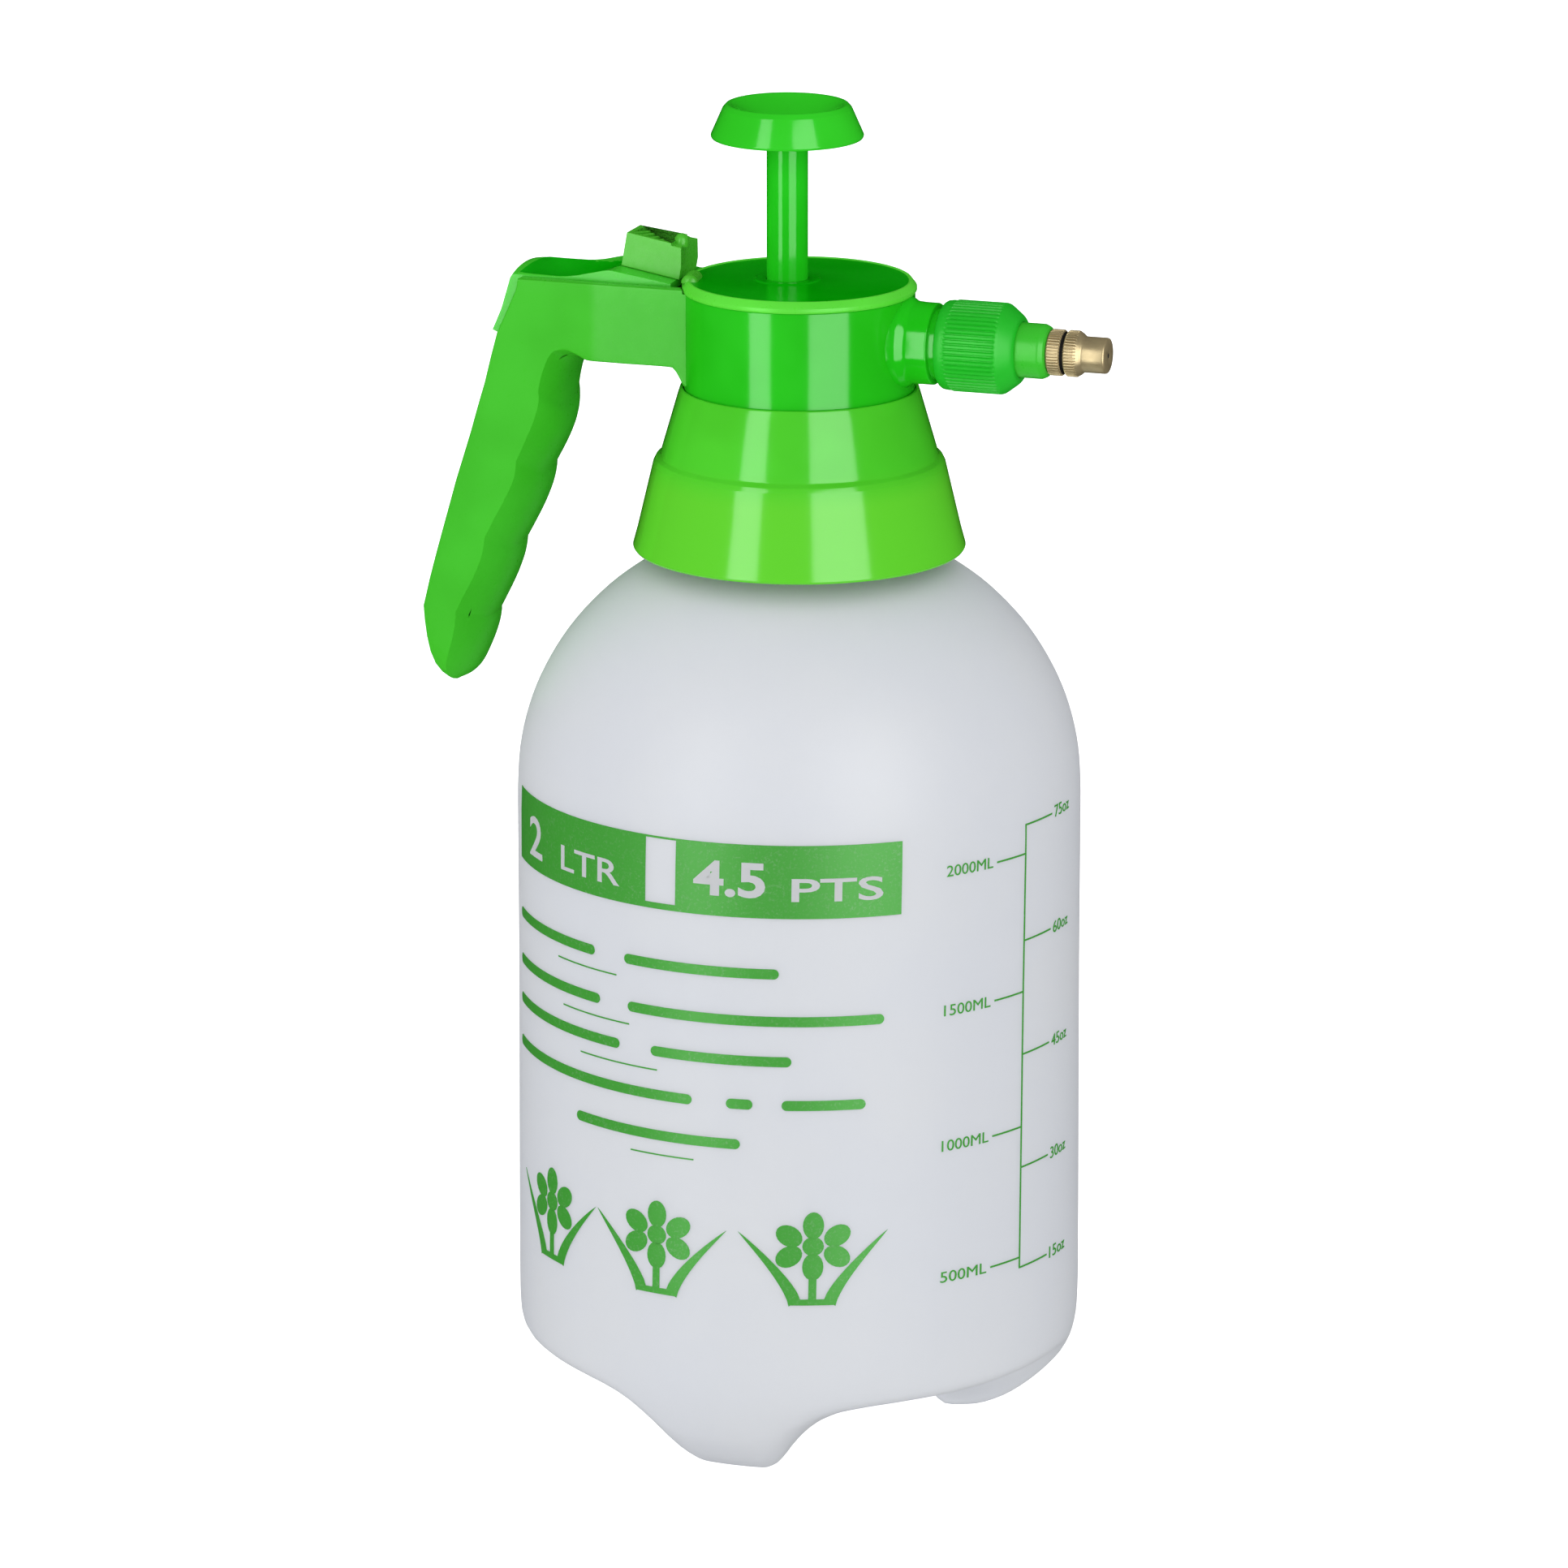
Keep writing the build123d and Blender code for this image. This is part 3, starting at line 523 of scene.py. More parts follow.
def resample(pts, n):
    """n + 1 points evenly along a polyline."""
    acc = [0.0]
    for a, b in zip(pts, pts[1:]):
        acc.append(acc[-1] + math.dist(a, b))
    out = []
    for k in range(n + 1):
        s = acc[-1] * k / n
        i = 0
        while i < len(pts) - 2 and acc[i + 1] < s:
            i += 1
        t = (s - acc[i]) / max(acc[i + 1] - acc[i], 1e-9)
        out.append((lerp(pts[i][0], pts[i + 1][0], t), lerp(pts[i][1], pts[i + 1][1], t)))
    return out


foot_out = resample(catmull([(69.4, 46.0), (69.42, 34.0), (68.7, 24.0), (65.7, 15.4), (61.8, 10.3), (57.2, 6.1), (52.4, 2.9), (47.8, 0.95), (44.4, 0.15), (42.0, 0.0)], 6), 26)
arch_out = resample(catmull([(69.4, 46.0), (69.42, 38.0), (69.3, 30.0), (68.7, 26.0), (66.9, 23.7), (63.8, 22.2), (59.5, 20.8), (54.0, 18.8), (48.0, 17.3)], 6), 26)
foot_mid = resample([(42.0, 0.0), (38.5, 0.0)], 4)[1:]
arch_mid = resample([(48.0, 17.3), (40.0, 16.8)], 4)[1:]
foot_in = resample(catmull([(38.5, 0.0), (36.2, 0.5), (33.6, 3.0), (30.2, 7.6), (26.6, 12.4), (22.6, 15.6), (17.0, 16.9)], 4), 14)[1:]
arch_in = resample([(40.0, 16.8), (17.0, 16.9)], 14)[1:]
low_foot = foot_out + foot_mid + foot_in + [(10.0, 17.0), (4.0, 17.0)]
low_arch = arch_out + arch_mid + arch_in + [(10.0, 17.0), (4.0, 17.0)]
up_line = [(69.0 + 0.5 * (120.0 - z) / 86.0, z) for z in (56.0, 68.0, 82.0, 96.0, 108.0, 118.0)]
sh = catmull(SHOULDER, 4)
neck_out = rounded([(30.6, 221.6, 0), (28.5, 224.4, 1.2), (28.5, 243.0, 0.5), (25.5, 243.0, 0.5), (25.5, 226.0, 2.0), (27.0, 224.6, 0)], closed=False)


def bottle_mesh():
    seg = 360
    rings = []
    inner_up = [(r - WALL, z) for r, z in up_line]
    sh_in = []
    for i, (r, z) in enumerate(sh):
        a, b = sh[max(i - 1, 0)], sh[min(i + 1, len(sh) - 1)]
        tx, tz = b[0] - a[0], b[1] - a[1]
        m = math.hypot(tx, tz)
        sh_in.append((r - WALL * tz / m, z + WALL * tx / m))
    cols = []
    for k in range(seg):
        deg = 360.0 * k / seg
        w = foot_share(deg)
        low = [(lerp(a[0], f[0], w), lerp(a[1], f[1], w)) for a, f in zip(low_arch, low_foot)]
        # inner side of the base: moved in along the outline's normal
        low_in = []
        for i, (r, z) in enumerate(low):
            a, b = low[max(i - 1, 0)], low[min(i + 1, len(low) - 1)]
            tx, tz = b[0] - a[0], b[1] - a[1]
            m = math.hypot(tx, tz) or 1.0
            low_in.append((max(r + WALL * tz / m, 3.0), z - WALL * tx / m))
        for i, (r, z) in enumerate(low_in):
            low_in[i] = (r, max(z, WALL))
        col = low[::-1] + up_line + sh[:-1] + neck_out[:-1] + sh_in[::-1] + inner_up[::-1] + low_in
        cols.append(col)
    n = len(cols[0])
    verts = [(0.0, 0.0, 17.0), (0.0, 0.0, 19.0)]
    for k, col in enumerate(cols):
        a = 2 * math.pi * k / seg
        verts += [(r * math.cos(a), r * math.sin(a), z) for r, z in col]
    faces = []
    for k in range(seg):
        a, b = 2 + k * n, 2 + ((k + 1) % seg) * n
        faces.append((0, b, a))
        for i in range(n - 1):
            faces.append((a + i, b + i, b + i + 1, a + i + 1))
        faces.append((1, a + n - 1, b + n - 1))
    return verts, faces


v, f = bottle_mesh()
bottle = obj_from("bottle_body", v, f, M_BOTTLE, "bottle", 40)


def thread_mesh(radius, crest, z0, turns, pitch, w_root, w_crest):
    steps = int(turns * 72)
    verts, faces = [], []
    sect = [(radius, -w_root / 2), (crest - 0.15 * (1 if crest > radius else -1), -w_crest / 2 - 0.12), (crest, -w_crest / 2 + 0.15),
            (crest, w_crest / 2 - 0.15), (crest - 0.15 * (1 if crest > radius else -1), w_crest / 2 + 0.12), (radius, w_root / 2)]
    m = len(sect)
    for k in range(steps + 1):
        t = k / steps
        a = 2 * math.pi * turns * t
        fade = min(1.0, t * turns * 9, (1 - t) * turns * 9)
        for r, dz in sect:
            rr = radius + (r - radius) * max(fade, 0.02)
            verts.append((rr * math.cos(a), rr * math.sin(a), z0 + pitch * turns * t + dz * max(fade, 0.3)))
    for k in range(steps):
        for i in range(m):
            j = (i + 1) % m
            faces.append((k * m + i, (k + 1) * m + i, (k + 1) * m + j, k * m + j))
    faces.append(tuple(range(m)))
    faces.append(tuple(steps * m + i for i in range(m - 1, -1, -1)))
    return verts, faces


tv, tf = thread_mesh(28.3, 30.4, 229.0, 2.5, 4.0, 2.2, 1.2)
neck_thread = obj_from("neck_thread", tv, tf, M_BOTTLE, "bottle", 30)
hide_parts("bottle")

# ---------------------------------------------------------------------------
# print on the bottle, as thin skins laid round it
# ---------------------------------------------------------------------------
def body_r(z):
    if z <= 34:
        return 69.42
    if z <= 120:
        return 69.5 - 0.5 * (z - 34) / 86.0
    return table([(120.0, 69.0)] + [(q[1], q[0]) for q in sh], z)


def shear(z):
    return (z - 163.0) * 0.0144


def wrap(name, parts2d, mat, lift=0.11, depth=0.17):
    """parts2d: list of (points, faces) with points (angle in degrees, z). A closed skin, laid on the bottle."""
    verts, faces = [], []
    for pts, fcs in parts2d:
        n = len(pts)
        o = len(verts)
        for off in (lift, lift - depth):
            for d, z in pts:
                a = math.radians(d + shear(z))
                r = body_r(z) + off
                verts.append((r * math.cos(a), r * math.sin(a), z))
        edges = {}
        for q in fcs:
            faces.append(tuple(o + i for i in q))
            faces.append(tuple(o + n + i for i in reversed(q)))
            for i in range(len(q)):
                e = (q[i], q[(i + 1) % len(q)])
                if (e[1], e[0]) in edges:
                    edges.pop((e[1], e[0]))
                else:
                    edges[e] = True
        for a, b in edges:
            faces.append((o + b, o + a, o + n + a, o + n + b))
    ob = obj_from(name, verts, faces, mat, "bottle", 40)
    return ob


def strip(d0, z0, d1, z1, step=1.5):
    """Rectangle in (degrees, z) cut into narrow columns so that it follows the bottle."""
    n = max(1, int(math.ceil(abs(d1 - d0) / step)))
    m = max(1, int(math.ceil(abs(z1 - z0) / 8.0)))
    pts, fcs = [], []
    for j in range(m + 1):
        for i in range(n + 1):
            pts.append((lerp(d0, d1, i / n), lerp(z0, z1, j / m)))
    for j in range(m):
        for i in range(n):
            a = j * (n + 1) + i
            fcs.append((a, a + 1, a + n + 2, a + n + 1))
    return pts, fcs


DEG = 180.0 / (math.pi * 69.15)          # degrees for one millimetre round the bottle


def fan(outline):
    """Convex outline in (degrees, z) as a triangle fan with an inner ring."""
    n = len(outline)
    cx = sum(p[0] for p in outline) / n
    cz = sum(p[1] for p in outline) / n
    pts = list(outline) + [(lerp(cx, p[0], 0.5), lerp(cz, p[1], 0.5)) for p in outline] + [(cx, cz)]
    fcs = []
    for i in range(n):
        j = (i + 1) % n
        fcs.append((i, j, n + j, n + i))
        fcs.append((n + i, n + j, 2 * n))
    return pts, fcs


def bar(d0, d1, zc, h, ends=5):
    """Rounded bar."""
    r = h / 2
    rd = r * DEG
    n = max(2, int((d1 - d0) / 1.5))
    top, bot = [], []
    for k in range(ends + 1):
        a = math.pi / 2 * k / ends
        top.append((d0 + rd * (1 - math.sin(a)) if False else d0 + rd * (1 - math.cos(math.pi / 2 - a)) * 1.0, zc + r * math.sin(a)))
    cols = []
    for k in range(ends + 1):
        a = math.pi / 2 * k / ends
        cols.append((d0 + rd * (1 - math.cos(a)), r * math.sin(a)))
    for k in range(1, n):
        cols.append((lerp(d0 + rd, d1 - rd, k / n), r))
    for k in range(ends, -1, -1):
        a = math.pi / 2 * k / ends
        cols.append((d1 - rd * (1 - math.cos(a)), r * math.sin(a)))
    pts = []
    for d, h2 in cols:
        h2 = max(h2, 0.02)
        pts += [(d, zc - h2), (d, zc + h2)]
    fcs = [(2 * i, 2 * i + 2, 2 * i + 3, 2 * i + 1) for i in range(len(cols) - 1)]
    return pts, fcs


def figures(text, d0, d1, z0, z1, bold=0.0):
    """Figures and unit letters from Blender's own font, stretched into a box."""
    cu = bpy.data.curves.new("t", "FONT")
    cu.body = text
    cu.size = 1.0
    cu.resolution_u = 4
    cu.offset = bold
    ob = bpy.data.objects.new("t", cu)
    bpy.context.scene.collection.objects.link(ob)
    bpy.context.view_layer.update()
    dg = bpy.context.evaluated_depsgraph_get()
    me = bpy.data.meshes.new_from_object(ob.evaluated_get(dg))
    bm = bmesh.new()
    bm.from_mesh(me)
    bmesh.ops.remove_doubles(bm, verts=bm.verts[:], dist=1e-5)
    bm.verts.ensure_lookup_table()
    xs = [q.co.x for q in bm.verts]
    ys = [q.co.y for q in bm.verts]
    x0, x1, y0, y1 = min(xs), max(xs), min(ys), max(ys)
    cols = max(2, int(abs(d1 - d0) / 0.8))
    for k in range(1, cols):
        bmesh.ops.bisect_plane(bm, geom=bm.verts[:] + bm.edges[:] + bm.faces[:], plane_co=(lerp(x0, x1, k / cols), 0, 0), plane_no=(1, 0, 0))
    for k in range(1, 3):
        bmesh.ops.bisect_plane(bm, geom=bm.verts[:] + bm.edges[:] + bm.faces[:], plane_co=(0, lerp(y0, y1, k / 3), 0), plane_no=(0, 1, 0))
    pts = [(lerp(d0, d1, (q.co.x - x0) / (x1 - x0)), lerp(z0, z1, (q.co.y - y0) / (y1 - y0))) for q in bm.verts]
    fcs = [tuple(w.index for w in q.verts) for q in bm.faces]
    bm.free()
    bpy.data.objects.remove(ob, do_unlink=True)
    bpy.data.meshes.remove(me)
    return pts, fcs


# band with its unprinted window
BZ0, BZ1 = 147.1, 165.1
band = [strip(-150.0, BZ0, -103.65, BZ1), strip(-96.8, BZ0, -50.75, BZ1), strip(-103.65, BZ0, -96.8, 148.6), strip(-103.65, 164.6, -96.8, BZ1)]
wrap("print_band", band, M_INK)
marks = [figures("2", -142.4, -135.6, 150.3, 160.4, 0.012), figures("LTR", -127.6, -110.0, 150.9, 157.0, 0.008),
         figures("4.5", -92.9, -78.2, 152.0, 160.8, 0.028), figures("PTS", -73.0, -54.6, 151.3, 157.1, 0.014)]
wrap("print_band_figures", marks, M_BARE, lift=0.17, depth=0.12)

# plain bars in place of the caption rows
rows = [
    (133.3, [(-150.0, -116.6), (-108.6, -75.2)]),
    (121.5, [(-150.0, -115.0), (-107.6, -53.9)]),
    (111.5, [(-150.0, -109.6), (-101.9, -72.4)]),
    (100.6, [(-150.0, -92.6), (-85.4, -80.0), (-74.2, -57.4)]),
    (90.5, [(-121.6, -82.4)]),
]
caption = []
for zc, spans in rows:
    for a, b in spans:
        caption.append(bar(a, b, zc, 2.5))
wrap("print_caption_bars", caption, M_INK)
rules = [(-128.6, -110.6, 128.6), (-126.6, -107.2, 117.0), (-120.6, -100.4, 106.8), (-106.4, -92.0, 85.6)]
wrap("print_rules", [strip(a, z - 0.17, b, z + 0.17) for a, b, z in rules], M_INK)

# generic daisies between two leaves
def flower(dc):
    out = []
    zc = 65.3

    def ell(cx, cz, rx, rz, rot=0.0, n=20):
        pts = []
        for k in range(n):
            a = 2 * math.pi * k / n
            x, z = rx * math.cos(a), rz * math.sin(a)
            pts.append((dc + (cx + x * math.cos(rot) - z * math.sin(rot)) * DEG, cz + x * math.sin(rot) + z * math.cos(rot)))
        return fan(pts)
    out.append(ell(0, zc, 2.6, 2.4))
    for k in range(6):
        a = math.pi / 2 + 2 * math.pi * k / 6
        out.append(ell(6.7 * math.cos(a), zc + 5.2 * math.sin(a), 3.4, 2.55, a))
    out.append(strip(dc - 0.95 * DEG, 51.0, dc + 0.95 * DEG, 57.6))
    out.append(strip(dc - 5.6 * DEG, 50.4, dc + 5.6 * DEG, 51.9))
    for s in (-1, 1):
        pts, n = [], 14
        for k in range(n + 1):
            t = k / n
            x = lerp(4.3, 18.2, t ** 1.25)
            z = lerp(51.0, 68.6, t ** 0.92)
            w = 1.9 * (1 - t) ** 0.75
            pts += [(dc + s * (x + w * 0.7) * DEG, z - w * 0.45), (dc + s * (x - w * 0.75) * DEG, z + w * 0.45)]
        fcs = []
        for k in range(n):
            q = (2 * k, 2 * k + 2, 2 * k + 3, 2 * k + 1)
            fcs.append(q if s > 0 else tuple(reversed(q)))
        out.append((pts, fcs))
    return out


wrap("print_daisies", flower(-67.4) + flower(-99.9) + flower(-130.6), M_INK)

# volume scale: line, ticks and figures
def ldeg(z):
    return -19.4


scale = [strip(-19.4 - 0.2, 51.4, -19.4 + 0.2, 163.2, 0.5)]
for z in (155.85, 121.35, 87.35, 54.2):
    scale.append(strip(-28.1, z - 0.21, -19.4, z + 0.21))
for z in (163.0, 134.15, 105.6, 77.05, 51.6):
    scale.append(strip(-19.4, z - 0.21, -9.3, z + 0.21))
wrap("print_scale_lines", scale, M_INK)
digits = []
for t, z, d0 in (("2000ML", 154.75, -40.8), ("1500ML", 120.1, -40.8), ("1000ML", 86.2, -40.8), ("500ML", 53.05, -40.6)):
    digits.append(figures(t, d0, -29.2, z, z + 2.75))
for t, z in (("75oz", 161.7), ("60oz", 132.7), ("45oz", 104.1), ("30oz", 75.6), ("15oz", 50.2)):
    digits.append(figures(t, -8.1, -0.2, z, z + 2.9))
wrap("print_scale_figures", digits, M_INK)

# ---------------------------------------------------------------------------
# collar nut
# ---------------------------------------------------------------------------
nut = rounded([(38.3, 221.8, 0.3), (40.1, 221.8, 0.3), (40.5, 222.4, 0.4), (39.4, 226.4, 6.0), (35.5, 242.9, 0.5), (34.9, 244.1, 0.7), (33.8, 244.9, 0.9), (29.5, 259.7, 1.0),
               (28.9, 261.6, 0.4), (28.15, 261.6, 0.3), (28.15, 248.0, 0), (31.0, 248.0, 0), (31.0, 225.4, 0), (33.2, 225.4, 0),
               (33.2, 241.0, 0), (33.6, 241.0, 0), (35.2, 234.0, 0), (37.3, 226.0, 0)], steps=6)
collar = lathe_z("collar_shell", nut, M_COLLAR, "collar", seg=200)
cv, cf = thread_mesh(31.15, 28.9, 231.0, 2.5, 4.0, 2.2, 1.1)
collar_thread = obj_from("collar_thread", cv, cf, M_COLLAR, "collar", 30)
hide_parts("collar_nut")

# ---------------------------------------------------------------------------
# head: cylinder with flange, spout, arm and grip
# ---------------------------------------------------------------------------
HEAD_TOP = 285.2
EX = -3.1                      # the pump stands off the bottle's axis
hp = rounded([(0, 248.0), (24.8, 248.0, 0), (24.8, 245.0, 0), (30.5, 245.0, 0.3), (30.5, 247.9, 0.3), (28.0, 247.9, 0), (28.0, HEAD_TOP, 0.4),
              (25.3, HEAD_TOP, 0.3), (25.3, 252.0, 0.6), (0, 252.0)], closed=False, steps=4)
head_shell = lathe_z("head_shell", hp, M_HEAD, "head", seg=200, closed=False)
well_v, well_f = lathe_data([(0, 240.0), (15.05, 240.0), (15.05, 256.0), (0, 256.0)], 96, False, lambda r, a, h: (EX + r * math.cos(a), r * math.sin(a), h))
head_shell = boolean(head_shell, [obj_from("c0", well_v, well_f, None, None)], "DIFFERENCE")
smooth_by(head_shell, 30)
sp = rounded([(20.0, 3.0, 0), (20.0, 11.6, 0), (26.4, 11.6, 0), (27.6, 11.2, 2.0), (29.4, 10.05, 2.4), (32.0, 9.9, 0), (35.0, 9.9, 0.4), (35.0, 8.5, 0.2), (47.0, 8.5, 0.5),
              (47.0, 3.0, 0.2)], steps=5)
head_spout = lathe_x("head_spout", sp, M_SPOUT, "head", seg=128)
# trim the spout's root to the cylinder's bore
cv, cf = lathe_data([(0, 240.0), (26.6, 240.0), (26.6, 300.0), (0, 300.0)], 160, False, lambda r, a, h: (r * math.cos(a), r * math.sin(a), h))
head_spout = boolean(head_spout, [obj_from("c1", cv, cf, None, None)], "DIFFERENCE")
smooth_by(head_spout, 30)
dip = rounded([(3.02, 238.0, 0), (5.2, 238.0, 0.4), (5.2, 248.2, 0), (3.02, 248.2, 0)])
lathe_z("dip_socket", dip, M_HEAD, "head", seg=48, cx=18.7)
lathe_z("feed_nipple", rounded([(0.9, 251.8, 0), (3.4, 251.8, 0), (3.4, 254.0, 0.3), (1.45, 254.0, 0), (1.45, 260.0, 0.2), (0.9, 260.0, 0)]),
        M_HEAD, "head", seg=40, cx=18.7)

# arm and grip
ST = [  # rear or top point, front or bottom point, depth of the front's crown, squareness, half width
    ((-20.6, 286.2), (-20.6, 262.2), 1.2, 9.0, 14.0),
    ((-24.6, 286.2), (-24.4, 262.2), 1.2, 9.0, 14.0),
    ((-25.6, 286.2), (-25.2, 262.9), 1.2, 9.0, 14.0),
    ((-26.8, 286.2), (-26.2, 264.7), 1.2, 9.0, 14.0),
    ((-28.0, 286.2), (-27.4, 266.3), 1.2, 9.0, 14.0),
    ((-30.0, 286.2), (-29.2, 266.8), 1.3, 9.0, 14.0),
    ((-40.0, 286.2), (-40.0, 266.8), 1.3, 9.0, 14.0),
    ((-48.0, 286.2), (-48.0, 266.8), 1.4, 8.0, 14.0),
    ((-54.5, 286.2), (-51.6, 266.7), 2.4, 5.0, 14.0),
    ((-60.0, 286.2), (-53.9, 266.0), 3.8, 3.4, 14.0),
    ((-67.4, 286.2), (-55.8, 264.5), 5.0, 2.8, 14.0),
    ((-68.0, 283.4), (-57.2, 261.8), 5.7, 2.5, 14.0),
    ((-70.4, 278.0), (-58.1, 258.0), 6.0, 2.4, 14.0),
    ((-73.0, 272.4), (-58.7, 253.4), 6.1, 2.4, 14.0),
    ((-74.7, 266.2), (-59.4, 248.2), 6.4, 2.4, 14.0),
    ((-76.3, 259.9), (-61.0, 242.8), 6.4, 2.4, 14.0),
    ((-78.2, 253.7), (-63.7, 237.6), 6.0, 2.4, 14.0),
    ((-80.0, 247.5), (-66.0, 232.4), 5.8, 2.4, 14.0),
    ((-82.0, 241.2), (-67.5, 227.2), 6.2, 2.4, 14.0),
    ((-84.0, 235.0), (-69.5, 222.1), 6.4, 2.4, 14.0),
    ((-85.8, 228.7), (-71.9, 217.2), 6.2, 2.4, 14.0),
    ((-87.6, 222.5), (-73.6, 212.0), 6.1, 2.4, 14.0),
    ((-89.4, 216.2), (-75.0, 207.0), 6.2, 2.4, 14.0),
    ((-91.1, 210.0), (-77.0, 202.0), 6.4, 2.4, 14.0),
    ((-92.9, 202.6), (-79.2, 196.6), 6.2, 2.4, 14.0),
    ((-92.6, 199.0), (-81.0, 190.8), 5.8, 2.4, 14.0),
    ((-92.1, 195.0), (-82.2, 187.4), 5.4, 2.4, 13.9),
    ((-91.4, 191.2), (-83.4, 185.2), 4.8, 2.4, 13.5),
    ((-90.4, 188.0), (-84.2, 184.2), 3.6, 2.4, 12.7),
    ((-89.4, 185.8), (-85.2, 183.2), 2.4, 2.4, 11.2),
    ((-88.2, 184.2), (-86.0, 182.8), 1.2, 2.3, 9.0),
    ((-87.2, 183.2), (-86.6, 182.6), 0.3, 2.2, 6.6),
]
SUB = 5
fr = catmull([s[1] for s in ST], SUB)
DIPS = ((253.6, -58.68, 1.8), (236.2, -64.3, 1.4), (216.8, -71.9, 1.15), (198.8, -78.7, 1.0), (182.5, -84.6, 0.0))
for k_, (fx_, fz_) in enumerate(fr):
    for (z1_, x1_, a_), (z2_, x2_, b_) in zip(DIPS, DIPS[1:]):
        if z2_ <= fz_ < z1_ and fz_ > 187.5:
            t_ = (z1_ - fz_) / (z1_ - z2_)
            fr[k_] = (lerp(x1_, x2_, t_) + a_ * math.sin(math.pi * t_ ** 0.7), fz_)
st = []
for i in range(len(ST) - 1):
    for k in range(SUB):
        t = k / SUB
        a, b = ST[i], ST[i + 1]
        st.append(((lerp(a[0][0], b[0][0], t), lerp(a[0][1], b[0][1], t)), fr[i * SUB + k], lerp(a[2], b[2], t), lerp(a[3], b[3], t), lerp(a[4], b[4], t)))
st.append((ST[-1][0], ST[-1][1], ST[-1][2], ST[-1][3], ST[-1][4]))
NT = 16
gv, gf = [], []
for (rx, rz), (fx, fz), D, sq, hw in st:
    dx, dz = rx - fx, rz - fz
    L = math.hypot(dx, dz)
    dx, dz = dx / L, dz / L
    loop = []
    eb = min(0.5, L * 0.1)
    # rear edge, then along the flat side, then round the crowned front
    half = [(L, hw - eb * 1.2), (L - eb * 0.35, hw - eb * 0.35), (L - eb * 1.2, hw)]
    for q in (0.75, 0.5, 0.25):
        half.append((D + (L - D) * q, hw))
    half.append((min(D + 0.6, L * 0.9), hw))
    for k in range(NT + 1):
        th = math.pi / 2 * k / NT
        d1, y1 = D * (1 - math.sin(th) ** (2 / sq)), hw * max(math.cos(th), 0.0) ** (2 / sq)
        y2 = hw * math.cos(th)
        d2 = D * max(math.cos(th), 0.0) ** 2.2
        kk = min(1.0, max(0.0, (6.5 - sq) / 3.6))
        half.append((lerp(d1, d2, kk), lerp(y1, y2, kk)))
    full = [(d, -y) for d, y in half] + [(d, y) for d, y in half[-2::-1]]
    loop = [(fx + dx * d, y, fz + dz * d) for d, y in full]
    gv.append(loop)
m = len(gv[0])
verts = [p for loop in gv for p in loop]
faces = []
for i in range(len(gv) - 1):
    for k in range(m):
        k2 = (k + 1) % m
        faces.append((i * m + k, i * m + k2, (i + 1) * m + k2, (i + 1) * m + k))
faces.append(tuple(range(m - 1, -1, -1)))
faces.append(tuple((len(gv) - 1) * m + k for k in range(m)))
grip = obj_from("arm_grip", verts, faces, M_ARM, "head", 30)
PW = 11.0
arm_in = [(-20.0, 288.0), (-20.0, 269.1), (-53.0, 269.1), (-59.4, 265.4), (-62.6, 258.0), (-64.0, 250.0), (-66.0, 243.0), (-71.2, 231.0),
          (-74.6, 221.0), (-78.8, 209.0), (-82.6, 198.0), (-84.8, 191.6), (-86.6, 188.6), (-87.8, 191.0), (-89.4, 197.6), (-99.0, 203.0), (-99.0, 206.0),
          (-84.0, 268.0), (-80.0, 292.0)]
pv, pf = prism_data(arm_in, -PW, PW)
pocket = obj_from("c2", pv, pf, None, None)
cutters = []
ribs = []
for zr, xr in ((211.0, -74.0), (228.0, -68.0), (245.0, -60.0)):
    bv, bf = box_data(-60, 0, -20, 20, -0.9, 0.9)
    c, s = math.cos(math.radians(-12)), math.sin(math.radians(-12))
    bv = [(xr + x * c + z * s, y, zr - x * s + z * c) for x, y, z in bv]
    ribs.append(obj_from("c3", bv, bf, None, None))
pocket = boolean(pocket, ribs, "DIFFERENCE")
bore_v, bore_f = lathe_data([(0, 252.0), (25.3, 252.0), (25.3, 300.0), (0, 300.0)], 160, False, lambda r, a, h: (r * math.cos(a), r * math.sin(a), h))
bore = obj_from("c4", bore_v, bore_f, None, None)
ring_v, ring_f = lathe_data([(0, 285.2), (28.75, 285.2), (28.75, 300.0), (0, 300.0)], 160, False, lambda r, a, h: (r * math.cos(a), r * math.sin(a), h))
ring = obj_from("c5", ring_v, ring_f, None, None)
inner_v, inner_f = lathe_data([(0, 240.0), (26.8, 240.0), (26.8, 300.0), (0, 300.0)], 160, False, lambda r, a, h: (r * math.cos(a), r * math.sin(a), h))
inner = obj_from("c6", inner_v, inner_f, None, None)
grip = boolean(grip, [pocket, bore, ring, inner], "DIFFERENCE")
smooth_by(grip, 28)
# valve socket ring on the channel's floor
lathe_z("valve_socket", rounded([(5.05, 268.9, 0), (6.6, 268.9, 0), (6.6, 269.8, 0.2), (5.05, 269.8, 0)]), M_HEAD, "head", seg=48, cx=-44.0)
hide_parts("head_body")

# cover disc with plug skirt and rim lug
cov = rounded([(5.08, 285.2, 0), (22.8, 285.2, 0), (22.8, 281.4, 0), (25.2, 281.4, 0), (25.2, 285.2, 0), (28.15, 285.2, 0), (28.4, 285.6, 0.15),
               (28.4, 286.35, 0.25), (27.15, 287.95, 0.3), (26.7, 287.95, 0.1), (26.4, 287.7, 0.15), (8.2, 287.7, 0.2), (7.6, 288.0, 0.15), (5.08, 288.0, 0.25)], steps=4)


def cover_place(r, a, h):
    # the rod's hole is off centre, so the inner rings slide over to it
    k = max(0.0, min(1.0, (22.0 - r) / (22.0 - 8.2)))
    return (EX * k + r * math.cos(a), r * math.sin(a), h)


